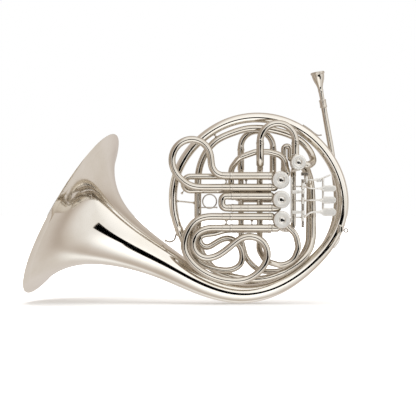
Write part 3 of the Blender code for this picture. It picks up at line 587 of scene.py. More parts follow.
def carry_twisted(line: Course, distances: Array, widths: Array, sides: int) -> Shell:
    """A wire along a line that winds round: its section's first axis points away from the line's middle.

    Args:
        line: Centreline of the wire.
        distances: Distances along the line, one for each section.
        widths: Radius of the wire at each section.
        sides: Number of sides of the wire.

    Returns:
        The closed surface of the wire.
    """
    centres, ways = line.at(distances), line.ways(distances)
    away = centres - centres.mean(axis=0)
    first = unit(away - ways * (ways * away).sum(axis=1)[:, None])
    second = np.cross(ways, first)
    angles = np.linspace(0, 2 * math.pi, sides, endpoint=False)
    points = centres[:, None] + (widths[:, None] * np.cos(angles))[:, :, None] * first[:, None]
    return grid_shell(
        points + (widths[:, None] * np.sin(angles))[:, :, None] * second[:, None], closed=False
    )


# ---------------------------------------------------------------- finishes


class Slot(Enum):
    """The record's material slots."""

    POLISHED = "polished_nickel_silver"
    SATIN = "satin_nickel"
    STEEL = "plated_steel"


class Grain(Enum):
    """Which way the tool marks of a finish run over the surface."""

    BUFFED = (0.12, 0.9)
    SPUN = (6.0, 0.0)
    SATIN = (9.0, 0.6)


def linear(code: str) -> tuple[float, float, float, float]:
    """A colour from its sRGB hex code to linear light.

    Args:
        code: Six hex digits after a hash sign.

    Returns:
        Red, green and blue in linear light, and full opacity.
    """
    parts = np.array([int(code[k : k + 2], 16) for k in (1, 3, 5)]) / 255
    light = np.where(parts <= 0.04045, parts / 12.92, ((parts + 0.055) / 1.055) ** 2.4)
    return (*light.tolist(), 1.0)


def add_node(
    tree: bpy.types.NodeTree, kind: str, inputs: dict | None = None, **settings: object
) -> bpy.types.Node:
    """Adds a node with its settings and links.

    Args:
        tree: The node tree.
        kind: Type of the node.
        inputs: Value of, or socket to link to, each named or numbered input.
        **settings: The node's own properties.

    Returns:
        The node.
    """
    node = tree.nodes.new(kind)
    for name, value in settings.items():
        setattr(node, name, value)
    for name, value in (inputs or {}).items():
        if isinstance(value, bpy.types.NodeSocket):
            tree.links.new(value, node.inputs[name])
        else:
            node.inputs[name].default_value = value
    return node


@dataclass(frozen=True)
class MetalFinish:
    """A metal surface: its colour, how evenly it shines, and the marks its making left."""

    name: str
    slot: Slot
    colour: str
    shade: str
    shine: float
    haze: float
    grain: Grain = Grain.BUFFED
    mark_depth_mm: float = 0.002
    cloud_mm: float = 24.0
    metallic: float = 1.0

    def material(self) -> bpy.types.Material:
        """The finish as a material, made once and then shared.

        Returns:
            The material: clouds of handling haze vary its colour and roughness, and fine marks its bump.
        """
        if self.name in bpy.data.materials:
            return bpy.data.materials[self.name]
        made = bpy.data.materials.new(self.name)
        made.use_nodes = True
        tree = made.node_tree
        shader = tree.nodes["Principled BSDF"]
        place = add_node(tree, "ShaderNodeTexCoord")
        cloud = add_node(
            tree, "ShaderNodeTexNoise",
            {
                "Vector": place.outputs["Object"], "Scale": 1 / (self.cloud_mm * MM), "Detail": 5.0,
                "Roughness": 0.6
            }
        )
        tone = add_node(
            tree, "ShaderNodeMapRange",
            {"Value": cloud.outputs["Fac"], "From Min": 0.38, "From Max": 0.68}
        )
        colour = add_node(tree, "ShaderNodeMix", {"Factor": tone.outputs["Result"]}, data_type="RGBA")
        # A Mix node of colours keeps its sockets under numbers past those of its other kinds.
        tree.links.new(colour.outputs[2], shader.inputs["Base Color"])
        colour.inputs[6].default_value = linear(self.colour)
        colour.inputs[7].default_value = linear(self.shade)
        rough = add_node(
            tree, "ShaderNodeMapRange",
            {
                "Value": cloud.outputs["Fac"], "From Min": 0.35, "From Max": 0.7, "To Min": self.shine,
                "To Max": self.shine + self.haze
            }
        )
        tree.links.new(rough.outputs["Result"], shader.inputs["Roughness"])
        run, round_it = self.grain.value
        spread = add_node(
            tree, "ShaderNodeMapping",
            {"Vector": place.outputs["UV"], "Scale": (run * 10, round_it * 60, 1.0)}
        )
        marks = add_node(
            tree, "ShaderNodeTexNoise",
            {"Vector": spread.outputs["Vector"], "Scale": 1.0, "Detail": 3.0}
        )
        bump = add_node(
            tree, "ShaderNodeBump",
            {"Height": marks.outputs["Fac"], "Strength": 1.0, "Distance": self.mark_depth_mm * MM}
        )
        tree.links.new(bump.outputs["Normal"], shader.inputs["Normal"])
        shader.inputs["Metallic"].default_value = self.metallic
        return made


# Nickel silver tube, buffed to a mirror: a warm, slightly yellow white, brown where it reflects itself. Its
# colour is painted darker than the bell's, though both are one metal: painted shade for the dim reflections
# among the close-packed tubes.
TUBING = MetalFinish(
    "nickel_silver_buffed", Slot.POLISHED, "#D0C9BD", "#C9C0B2", 0.05, 0.04, mark_depth_mm=0.0006
)
# Nickel silver sheet spun over a mandrel and buffed: the same metal with faint rings round the bell, its
# colour painted lighter than the tubes' as a painted highlight for the bell's bright sheen.
SPUN = MetalFinish(
    "nickel_silver_spun_buffed", Slot.POLISHED, "#E4DED4", "#DDD6C9", 0.06, 0.04, Grain.SPUN, 0.0003,
    60.0
)
# Nickel plate over blasted brass: a cool matt white that keeps no sharp reflection.
SATIN = MetalFinish(
    "nickel_plate_satin", Slot.SATIN, "#F2EFE8", "#E8E4DC", 0.42, 0.10, Grain.SATIN, 0.004, 9.0
)
# Nickel plate over turned brass, buffed: brighter and cooler than the tubes.
BRIGHT = MetalFinish(
    "nickel_plate_buffed", Slot.SATIN, "#D9D5CE", "#C9C4BB", 0.12, 0.08, Grain.SPUN, 0.002, 6.0
)
# Plated steel rods, springs and screws: greyer and a little dull from handling.
STEEL = MetalFinish(
    "steel_nickel_plated", Slot.STEEL, "#B9B0A4", "#A0968A", 0.16, 0.14, Grain.BUFFED, 0.003, 5.0
)
# Screw slots and pivots: a near-black steel, painted shade for the dark of the slot's sunk groove.
DARK = MetalFinish(
    "cap_slot_painted_shade", Slot.STEEL, "#2B2724", "#1D1A18", 0.45, 0.15, Grain.BUFFED, 0.003, 3.0
)
# Pressed cork bumpers: brown, matt and not a metal.
CORK = MetalFinish(
    "cork_pressed", Slot.STEEL, "#8A6747", "#6B4C33", 0.75, 0.15, Grain.SATIN, 0.05, 1.2, 0.0
)


@dataclass(frozen=True)
class Piece:
    """One finished piece: its surface, finish, the CAD body it rides on and the CAD nodes it stands for."""

    name: str
    shell: Shell
    finish: MetalFinish
    body: str = "horn"
    stands_for: tuple[str, ...] = ()

    def place(self) -> bpy.types.Object:
        """Puts the piece in the scene, on its body.

        Returns:
            The piece's object, at the origin.
        """
        mesh = self.shell.mesh(self.name)
        mesh.materials.append(self.finish.material())
        made = bpy.data.objects.new(self.name, mesh)
        bpy.context.scene.collection.objects.link(made)
        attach(made, self.body)
        if self.stands_for:
            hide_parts(*self.stands_for)
        LOG.info("%s: %d faces on %s", self.name, len(mesh.polygons), self.body)
        return made


# ---------------------------------------------------------------- bell and body


@dataclass(frozen=True)
class BodyTube:
    """The bell and the wide tube that carries it on round the big loop."""

    mouth_radius: float = 160.4
    flare_length: float = 60.3
    flare_power: float = 1.2
    bell_wall: float = 0.6
    seam: float = 410.0
    tail_radius: float = 10.5
    tail_start: float = 540.0
    tail_taper: float = 0.0062
    bead: float = 2.0
    bead_half: float = 2.7
    course: Course = field(init=False)

    def __post_init__(self) -> None:
        """Works out the centreline from the mouth to the end of the tail."""
        throat = [(-328.0, 39.5, -16.5), (-267.2, 29.2, -49.7), (-205.4, 19.2, -81.0)]
        throat += [(-153.1, 11.2, -108.3), (-109.5, 4.5, -131.9)]
        loop = [(-98, 158.0), (-76, 148.0), (-57, 141.5), (-40, 141.0), (-23, 145.0), (0, 149.6)]
        loop += [(25, 149.6), (48, 149.8), (73, 151.3), (92, 151.8), (110, 151.5), (128, 150.7)]
        loop += [(147, 150.7), (166, 149.5), (181, 147.0), (192, 145.0), (202, 143.6)]
        object.__setattr__(self, "course", spline(throat + [on_loop(*place) for place in loop], 3000))

    def radius(self, distance: Array) -> Array:
        """Outer radius at a distance from the mouth.

        Args:
            distance: Distances in millimetres.

        Returns:
            The larger of mouth radius times (F / (d + F)) to the flare's power and the tail's taper.
        """
        share = self.flare_length / (distance + self.flare_length)
        flare = self.mouth_radius * share**self.flare_power
        return np.maximum(flare, self.tail_radius - self.tail_taper * (distance - self.tail_start))

    def bell(self) -> Piece:
        """The flare, with a round bead rolled over its rim.

        Returns:
            The flare's piece.
        """
        spread = np.linspace(0, 1, 150) ** 1.6
        at = np.concatenate(
            [
                np.linspace(0, 2 * self.bead_half, 17)[:-1],
                2 * self.bead_half + spread * (self.seam + 0.78 - 2 * self.bead_half)
            ]
        )
        bead = self.bead * np.sqrt(np.clip(1 - ((at - self.bead_half) / self.bead_half) ** 2, 0, 1))
        outside = self.radius(at)
        inside = outside - self.bell_wall * np.sqrt(1 + np.gradient(outside, at) ** 2)
        section = np.concatenate([np.stack([at, outside + bead], 1), np.stack([at, inside], 1)[::-1]])
        centres, ways = self.course.at(section[:, 0]), self.course.ways(section[:, 0])
        shell = carry(centres, ways, section[:, 1], section[:, 1], 176, True)
        return Piece("bell_flare", shell, SPUN, stands_for=("bell",))

    def tail(self) -> Piece:
        """The tapering tube round the big loop, ending in the ferrule that joins it to the inner crook.

        Returns:
            The tail's piece.
        """
        start, end = self.seam + 0.8, self.course.length
        rows = self.course.stations(3.0, 8.0)
        rows = np.unique(
            np.concatenate(
                [
                    [start], rows[(rows > start + 1) & (rows < end - 15)],
                    end - np.array([14, 13.6, 13.3, 13.0, 1.0, 0.4, 0.0])
                ]
            )
        )
        outside = self.radius(rows)
        band = np.interp(rows, end - np.array([13.7, 13.2, 0.5, 0.0]), [0.0, 0.6, 0.6, 0.2], left=0.0)
        section = np.concatenate(
            [np.stack([rows, outside + band], 1), np.stack([rows, outside - 0.6], 1)[::-1]]
        )
        centres, ways = self.course.at(section[:, 0]), self.course.ways(section[:, 0])
        return Piece(
            "body_loop", carry(centres, ways, section[:, 1], section[:, 1], 64, True), SPUN,
            stands_for=("bell_tail",)
        )

    def pieces(self) -> list[Piece]:
        """The bell and the body loop."""
        return [self.bell(), self.tail()]


def banded(
    length: float, radius: float, bands: Sequence[tuple[float, float, float]] = ()
) -> list[tuple[float, float]]:
    """A plain tube's outside with raised bands.

    Args:
        length: Length of the tube.
        radius: Its radius between the bands.
        bands: Start, end and rise of each band, in order along the tube.

    Returns:
        Pairs of distance and radius.
    """
    pairs = [] if bands and bands[0][0] <= 0 else [(0.0, radius)]
    for start, end, rise in bands:
        if start > 0:
            pairs.append((start, radius))
            pairs.append((start + 0.15, radius + rise))
        else:
            pairs.append((0.0, radius + rise))
        pairs.append((min(end, length) - (0.0 if end >= length else 0.15), radius + rise))
        if end < length:
            pairs.append((end, radius))
    if not bands or bands[-1][1] < length:
        pairs.append((length, radius))
    return pairs


@dataclass(frozen=True)
class FixedTubes:
    """The tubes that stay put between the body, the mouthpiece and the valves."""

    body: BodyTube
    tube: float = 6.1
    wall: float = 0.5
    lead: float = 5.3

    def plain(
        self, name: str, course: Course, radius: float, node: str,
        bands: Sequence[tuple[float, float, float]] = ()
    ) -> Piece:
        """A tube of one bore with raised ferrules.

        Args:
            name: Name of the piece.
            course: Centreline of the pipe.
            radius: Outer radius.
            node: Solid that the piece replaces.
            bands: Start, end and height of each raised band.

        Returns:
            The pipe's piece.
        """
        shell = course.pipe(
            banded(course.length, radius, bands),
            [(0, radius - self.wall), (course.length, radius - self.wall)]
        )
        return Piece(name, shell, TUBING, stands_for=(node,))

    def inner_crook(self) -> Piece:
        """From the body loop's end, round inside it, up to the change valve.

        Returns:
            The crook's piece.
        """
        line = self.body.course.points
        way = unit(line[-1] - line[-2])
        start = line[-1] + way * 0.1
        knots = [start, start + way * 9.1, on_loop(-144, 141.5, -3.0), on_loop(-123, 136.5, -8.5)]
        knots += [on_loop(-107, 133.0, -12.0), on_loop(-89, 130.5, -12.0), on_loop(-72, 127.5, -12.0)]
        knots += [
            on_loop(-53, 124.0, -10.0), (88.0, -7.0, -84.0), (95.0, -4.0, -66.0), (96.5, -2.0, -36.0)
        ]
        knots += [(96.0, -1.0, 0.0), (94.5, -2.0, 28.0), (91.0, -8.0, 47.0), (84.5, -19.0, 62.0)]
        course = spline([tuple(k) for k in knots], 1400)
        length = course.length
        return self.plain(
            "inner_crook_tube", course, self.tube, "inner_crook",
            [(199.0, 213.0, 0.45), (length - 9, length, 0.5)]
        )

    def leadpipe(self) -> Piece:
        """From the receiver, behind the big loop and round the bottom, up the left side.

        Returns:
            The leadpipe's piece.
        """
        top, way = np.array([115.0, 18.0, 184.0]), unit(np.array([0.1755, 0.0, -0.9845]))
        knots = [tuple(top + way * d) for d in (0, 30, 60, 84)]
        knots += [(136.0, 18.0, 55.0), (140.5, 18.0, 12.0), (138.0, 18.0, -22.0), (130.0, 19.5, -50.0)]
        knots += [(112.0, 21.0, -82.0), (84.0, 23.0, -112.0), (45.0, 25.0, -133.0), (0.0, 25.0, -140.0)]
        knots += [
            (-45.0, 25.0, -131.0), (-80.0, 24.0, -109.0), (-100.0, 15.0, -77.0), (-104.0, 3.0, -50.0)
        ]
        knots += [(-104.0, 0.0, -36.0), (-104.0, 0.0, -24.0)]
        course = spline(knots, 1600)
        length = course.length
        outside = [
            (0, 5.9), (0.6, 6.4), (2.2, 6.4), (2.6, 6.0), (11.4, 6.0), (11.8, 6.4), (13.4, 6.4),
            (14.0, 5.9), (14.6, 4.8), (120, self.lead)
        ]
        outside += [
            (length - 14.0, self.tube - 0.1), (length - 13.8, self.tube + 0.4),
            (length, self.tube + 0.4)
        ]
        bore = [
            (0, 4.6), (24, 4.3), (26, 3.9), (120, self.lead - self.wall),
            (length, self.tube - self.wall)
        ]
        return Piece("leadpipe_tube", course.pipe(outside, bore), TUBING, stands_for=("leadpipe",))

    def upper_crook(self) -> Piece:
        """From the leadpipe's end up the left side and over the top to the change valve.

        Returns:
            The upper crook's piece.
        """
        knots = [(-104.0, 0.0, -23.9), (-104.0, 0.0, 0.0), (-104.0, 0.0, 30.0), (-102.5, 0.0, 56.0)]
        knots += [(-94.5, 0.0, 82.0), (-72.6, 0.0, 110.5), (-47.0, 0.0, 123.5), (-18.0, 0.0, 132.0)]
        knots += [(15.0, 0.0, 132.0), (48.0, 0.0, 124.5), (75.0, 0.0, 111.0), (91.5, -2.0, 93.0)]
        knots += [(96.5, -10.0, 80.0), (94.5, -24.0, 71.8), (88.0, -35.5, 68.0)]
        course = spline(knots, 1200)
        return self.plain(
            "upper_crook_tube", course, self.tube, "upper_crook",
            [(course.length - 7, course.length, 0.4)]
        )

    def valve_pipes(self) -> list[Piece]:
        """The short pipes between the valves.

        Returns:
            One piece for each pipe.
        """
        arch = [(50.5, -18.0, 57.5), (46.0, -18.0, 84.0), (20.0, -18.0, 91.0), (-4.0, -18.0, 91.0)]
        arch += [(-32.0, -17.0, 81.0), (-46.0, -9.0, 62.0), (-46.0, -6.5, 8.0), (23.5, -6.5, 8.0)]
        hoop = [(46.0, -5.0, 58.5), (46.0, -5.0, 101.5), (57.0, -5.0, 101.5), (57.0, -5.0, 81.5)]
        drop = [(63.0, 4.0, 57.0), (63.0, 4.0, -44.0), (49.0, 4.0, -44.0)]
        arch_line = arcs(arch, 22.0)
        return [
            self.plain(
                "arch_tube", arch_line, 5.3, "arch_pipe",
                [(0, 5, 0.5), (arch_line.length - 12, arch_line.length, 0.4)]
            ),
            self.plain("hoop_tube", arcs(hoop), 4.8, "hoop_pipe", [(0, 5, 0.4)]),
            self.plain("drop_tube", arcs(drop, 9.0), 4.6, "drop_pipe", [(0, 8, 0.4)]),
        ]

    def pieces(self) -> list[Piece]:
        """Every fixed tube."""
        return [self.inner_crook(), self.leadpipe(), self.upper_crook(), *self.valve_pipes()]


# ---------------------------------------------------------------- slides


def wire_brace(start: Sequence[float], end: Sequence[float], radius: float, foot: float) -> Shell:
    """A turned post between two tubes: a waist that widens to a saddle foot at each end.

    Args:
        start: One end, inside the first tube's wall.
        end: The other end.
        radius: Radius of the waist.
        foot: Radius of the feet.

    Returns:
        The surface.
    """
    course = straight(start, end)
    length = course.length
    flare = min(2.4, length / 3)
    outline = [
        (0, foot), (flare * 0.45, foot * 0.95), (flare, radius), (length - flare, radius),
        (length - flare * 0.45, foot * 0.95), (length, foot)
    ]
    return course.rod(outline, 20, ease=0.5)


@dataclass(frozen=True)
class ValveSlide:
    """A valve slide: two sleeves on the valve, and a bow whose legs run inside them."""

    name: str
    node: str
    sleeve_node: str
    heights: tuple[float, float]
    y: float
    mouth: float
    sleeve: float
    bow: Course
    insert: float
    braces: tuple[float, ...]
    collar: float = 13.5
    rings: tuple[float, ...] = ()
    bow_post: float | None = None
    sleeve_end: float = 23.4
    wall: float = 0.4
    play: float = 0.4

    def sleeves(self) -> Piece:
        """The two sleeves, each with a reinforced mouth, joined by turned braces.

        Returns:
            One piece that holds both sleeves and their braces.
        """
        length = self.sleeve_end - self.mouth
        bands = [(0.0, 4.0, 0.4)]
        bands += [(x - self.mouth - 0.8, x - self.mouth + 0.8, 0.3) for x in self.rings]
        bands.append((length - 5, length, 0.3))
        shells = []
        for z in self.heights:
            line = straight((self.mouth, self.y, z), (self.sleeve_end, self.y, z))
            bore = self.sleeve - self.wall
            shells.append(line.pipe(banded(length, self.sleeve, bands), [(0, bore), (length, bore)]))
        high, low = max(self.heights) - self.sleeve + 0.15, min(self.heights) + self.sleeve - 0.15
        shells += [wire_brace((x, self.y, high), (x, self.y, low), 1.15, 2.6) for x in self.braces]
        return Piece(f"{self.name}_sleeves", joined(shells), TUBING, stands_for=(self.sleeve_node,))

    def crook(self, extras: Sequence[Shell] = ()) -> Piece:
        """The bow, with a collar on each leg where it meets its sleeve.

        Args:
            extras: Surfaces that ride on the bow.

        Returns:
            The bow's piece, on the slide's own body.
        """
        leg, bow = self.sleeve - self.wall - self.play, self.sleeve - 0.5
        length = self.bow.length
        near, far = self.insert, self.insert + self.collar
        half = [(0, leg), (near, leg), (near + 0.1, bow + 0.35), (far, bow + 0.35), (far + 0.15, bow)]
        outside = half + [(length - d, r) for d, r in half[::-1]]
        bore = leg - self.wall
        shell = self.bow.pipe(outside, [(0, bore), (length, bore)])
        if self.bow_post is not None:
            reach = bow + 0.1
            high, low = max(self.heights) - reach, min(self.heights) + reach
            extras = [
                *extras,
                wire_brace((self.bow_post, self.y, high), (self.bow_post, self.y, low), 1.15, 2.7)
            ]
        return Piece(f"{self.name}_bow", joined([shell, *extras]), TUBING, self.node, (self.node,))

    def pieces(self, extras: Sequence[Shell] = ()) -> list[Piece]:
        """The sleeves and the bow."""
        return [self.sleeves(), self.crook(extras)]


def level_course(
    knots: Sequence[tuple[float, float]], inner_end: float, heights: tuple[float, float], y: float
) -> Course:
    """A spline through the knots between two level legs that run right to inner_end.

    Args:
        knots: Points of the bow as pairs of X and Z.
        inner_end: X at which both legs end.
        heights: Height of the first leg and of the second.
        y: Depth of the whole slide.

    Returns:
        The line through the knots, from one sleeve to the other.
    """
    middle = spline([(x, y, z) for x, z in knots], 1500).points
    ends = np.array([[inner_end, y, heights[0]]]), np.array([[inner_end, y, heights[1]]])
    return Course(np.concatenate([ends[0], middle, ends[1]]))


FRONT_Y, REAR_Y = -39.0, -22.0
FRONT_SLEEVE, REAR_SLEEVE = 6.6, 5.9


def first_slide() -> ValveSlide:
    """The first valve's front slide, with its tall bow over the loop.

    Returns:
        The slide with its sizes.
    """
    mouth, start = -48.0, -48.4
    knots = [(start, 49), (-55, 49), (-64, 50), (-73, 54.5), (-79.5, 65), (-81.5, 80)]
    knots += [(-86.5, 96), (-98, 107.5), (-113, 112), (-130, 108), (-144, 94), (-148.5, 76)]
    knots += [(-143.5, 57), (-131, 41.5), (-114, 31.5), (-94, 29), (-70, 29), (start, 29)]
    heights = (49.0, 29.0)
    bow = level_course(knots, 4.0, heights, FRONT_Y)
    return ValveSlide(
        "first_slide", "first_slide", "first_sleeves", heights, FRONT_Y, mouth, FRONT_SLEEVE, bow, 52.4,
        (1.0,), bow_post=-54.8
    )


def second_slide() -> ValveSlide:
    """The second valve's short slide, a plain U.

    Returns:
        The slide with its sizes.
    """
    heights, start = (14.0, -6.6), -46.4
    corners = [(4.0, FRONT_Y, 14.0), (start, FRONT_Y, 14.0), (-62.5, FRONT_Y, 14.0)]
    corners += [(-62.5, FRONT_Y, -6.6), (start, FRONT_Y, -6.6), (4.0, FRONT_Y, -6.6)]
    return ValveSlide(
        "second_slide", "second_slide", "second_sleeves", heights, FRONT_Y, -46.0, FRONT_SLEEVE,
        arcs(corners), 50.4, (-29.3, 1.0), 5.0, (-29.3, -16.7)
    )


def third_slide() -> ValveSlide:
    """The third valve's front slide, folded back through its own loop.

    Returns:
        The slide with its sizes.
    """
    start, heights = -48.4, (-21.4, -41.2)
    knots = [(start, -21.4), (-66, -21.4), (-86, -21.6), (-106, -28), (-119, -42), (-126, -58)]
    knots += [(-127, -76), (-111, -104), (-83, -123), (-50, -132), (-20, -130), (5, -113)]
    knots += [(16, -91), (10.5, -68), (-6, -57), (-25, -57.5), (-43, -69), (-62, -84)]
    knots += [(-79, -92), (-97, -91), (-110, -78), (-112, -64), (-107, -53), (-97, -45.5)]
    knots += [(-82, -41.5), (-66, -41.2), (start, -41.2)]
    bow = level_course(knots, 4.0, heights, FRONT_Y)
    return ValveSlide(
        "third_slide", "third_slide", "third_sleeves", heights, FRONT_Y, -48.0, FRONT_SLEEVE, bow, 52.4,
        (1.0,), bow_post=-54.8
    )


def first_rear_slide() -> ValveSlide:
    """The first valve's slide on the other side of the horn.

    Returns:
        The slide with its sizes.
    """
    heights, start = (48.0, 24.0), -40.4
    corners = [(0.0, REAR_Y, 48.0), (start, REAR_Y, 48.0), (-128.5, REAR_Y, 48.0)]
    corners += [(-128.5, REAR_Y, 24.0), (start, REAR_Y, 24.0), (0.0, REAR_Y, 24.0)]
    return ValveSlide(
        "first_rear_slide", "first_rear_slide", "first_rear_sleeves", heights, REAR_Y, -40.0,
        REAR_SLEEVE, arcs(corners), 40.4, (-20.0,), 9.0
    )


def third_rear_slide() -> ValveSlide:
    """The third valve's slide on the other side of the horn, coiled inside the front one.

    Returns:
        The slide with its sizes.
    """
    start, heights = -36.4, (-22.0, -44.0)
    knots = [(start, -22), (-60, -22), (-92, -22.5), (-109, -32), (-115, -52), (-115, -76)]
    knots += [(-108, -94), (-92, -106), (-70, -113), (-48, -114), (-31, -105), (-27, -86)]
    knots += [(-35, -68), (-50, -59.5), (-72, -66.5), (-90, -74), (-99, -68), (-100, -57.5)]
    knots += [(-91, -52.5), (-76, -50.5), (-60, -46), (start, -44)]
    bow = level_course(knots, 4.0, heights, REAR_Y)
    return ValveSlide(
        "third_rear_slide", "third_rear_slide", "third_rear_sleeves", heights, REAR_Y, -36.0,
        REAR_SLEEVE, bow, 40.4, (-10.0,), 8.0
    )


@dataclass(frozen=True)
class TuningSlide:
    """An upright tuning slide: an arch over two sleeves, one of which carries on as a fixed pipe."""

    name: str
    xs: tuple[float, float]
    y: float
    mouth: float
    top: float
    depth: float
    sleeve: float
    pipe_corners: tuple[Point, ...]
    pipe_radius: float
    pipe_turn: float
    pipe_nodes: tuple[str, str]
    short_end: float
    step: float
    gap: float = 0.4

    def arch(self) -> Piece:
        """The arch, with a collar on each leg just above its sleeve.

        Returns:
            The arch's piece, on the slide's own body.
        """
        low = self.mouth - self.depth
        course = arcs(
            [
                (self.xs[0], self.y, low), (self.xs[0], self.y, self.top),
                (self.xs[1], self.y, self.top), (self.xs[1], self.y, low)
            ]
        )
        leg, bow, insert, length = self.sleeve - 0.8, self.sleeve - 0.5, self.depth + self.gap, course.length
        half = [
            (0, leg), (insert, leg), (insert + 0.1, bow + 0.3), (insert + 4.0, bow + 0.3),
            (insert + 4.15, bow)
        ]
        outside = half + [(length - d, r) for d, r in half[::-1]]
        shell = course.pipe(outside, [(0, leg - 0.4), (length, leg - 0.4)])
        return Piece(f"{self.name}_arch", shell, TUBING, self.name, (self.name,))

    def long_side(self) -> Piece:
        """The sleeve that carries on as a pipe to a valve.

        Returns:
            The long side's piece.
        """
        course = arcs(self.pipe_corners, self.pipe_turn)
        length, bore, fine = course.length, self.sleeve - 0.4, self.pipe_radius
        outside = [
            (0, self.sleeve + 0.4), (4.0, self.sleeve + 0.4), (4.2, self.sleeve),
            (self.step, self.sleeve), (self.step + 0.6, fine), (length - 6, fine),
            (length - 5.8, fine + 0.4), (length, fine + 0.4)
        ]
        inside = [(0, bore), (self.step, bore), (self.step + 1, fine - 0.5), (length, fine - 0.5)]
        return Piece(
            f"{self.name}_long_pipe", course.pipe(outside, inside), TUBING,
            stands_for=(self.pipe_nodes[0],)
        )

    def short_side(self) -> Piece:
        """The other sleeve, closed by its joint to the valve.

        Returns:
            The short side's piece.
        """
        course = straight((self.xs[1], self.y, self.mouth), (self.xs[1], self.y, self.short_end))
        length, bore = course.length, self.sleeve - 0.4
        outside = [
            (0, self.sleeve + 0.4), (4.0, self.sleeve + 0.4), (4.2, self.sleeve), (length, self.sleeve)
        ]
        return Piece(
            f"{self.name}_short_sleeve", course.pipe(outside, [(0, bore), (length, bore)]), TUBING,
            stands_for=(self.pipe_nodes[1],)
        )

    def pieces(self) -> list[Piece]:
        """The arch and its two sleeves."""
        return [self.arch(), self.long_side(), self.short_side()]


def main_slide() -> TuningSlide:
    """The front tuning slide, whose left leg returns to the third valve.

    Returns:
        The slide with its sizes.
    """
    y, mouth = -31.0, 107.5
    corners = (
        (4.0, y, mouth), (4.0, y, 68.0), (4.5, 6.0, 50.0), (4.5, 6.0, -52.0), (3.0, -4.0, -80.0),
        (14.0, -20.0, -99.0), (42.0, -25.0, -107.0), (62.0, -25.0, -98.0), (71.0, -25.0, -75.0),
        (66.0, -25.0, -52.0), (53.0, -25.0, -40.0)
    )
    return TuningSlide(
        "main_slide", (4.0, 65.0), y, mouth, 140.0, 20.0, FRONT_SLEEVE, corners, 5.3, 24.0,
        ("return_pipe", "main_sleeve"), 86.6, 40.0
    )


def rear_main_slide() -> TuningSlide:
    """The rear tuning slide, whose left leg runs round the bottom to the change valve.

    Returns:
        The slide with its sizes.
    """
    y, mouth = 14.0, 98.0
    corners = (
        (-28.5, y, mouth), (-28.5, y, 60.0), (-28.0, y, -62.0), (-20.0, y, -94.0), (2.0, 13.0, -118.0),
        (40.0, 12.5, -118.0), (74.0, 12.5, -100.0), (90.0, 12.5, -68.0), (92.0, 13.0, 30.0),
        (84.0, 8.0, 60.0), (78.0, 2.0, 68.0)
    )
    return TuningSlide(
        "rear_main_slide", (-28.5, 28.0), y, mouth, 128.5, 26.0, REAR_SLEEVE, corners, 5.0, 40.0,
        ("rear_pipe", "rear_main_sleeve"), 60.0, 38.0
    )


def pull_ring() -> Piece:
    """The finger ring on the second slide's bow, with its bar.

    Returns:
        The ring's piece, on its own body.
    """
    centre = (-83.5, FRONT_Y, 5.0)
    bar = straight((-98.0, FRONT_Y, -5.6), (-70.6, FRONT_Y, -5.6)).rod([(0, 1.1), (27.4, 1.1)], 16)
    knob = turned(
        (-70.6, FRONT_Y, -5.6), (1, 0, 0), eased([(-1.2, 0), (-1.2, 1.5), (0.6, 1.5), (0.6, 0)], 0.5),
        24
    )
    return Piece(
        "finger_ring", joined([ring(centre, 12.0, 1.1), bar, knob]), STEEL, "pull_ring", ("pull_ring",)
    )


# ---------------------------------------------------------------- valves


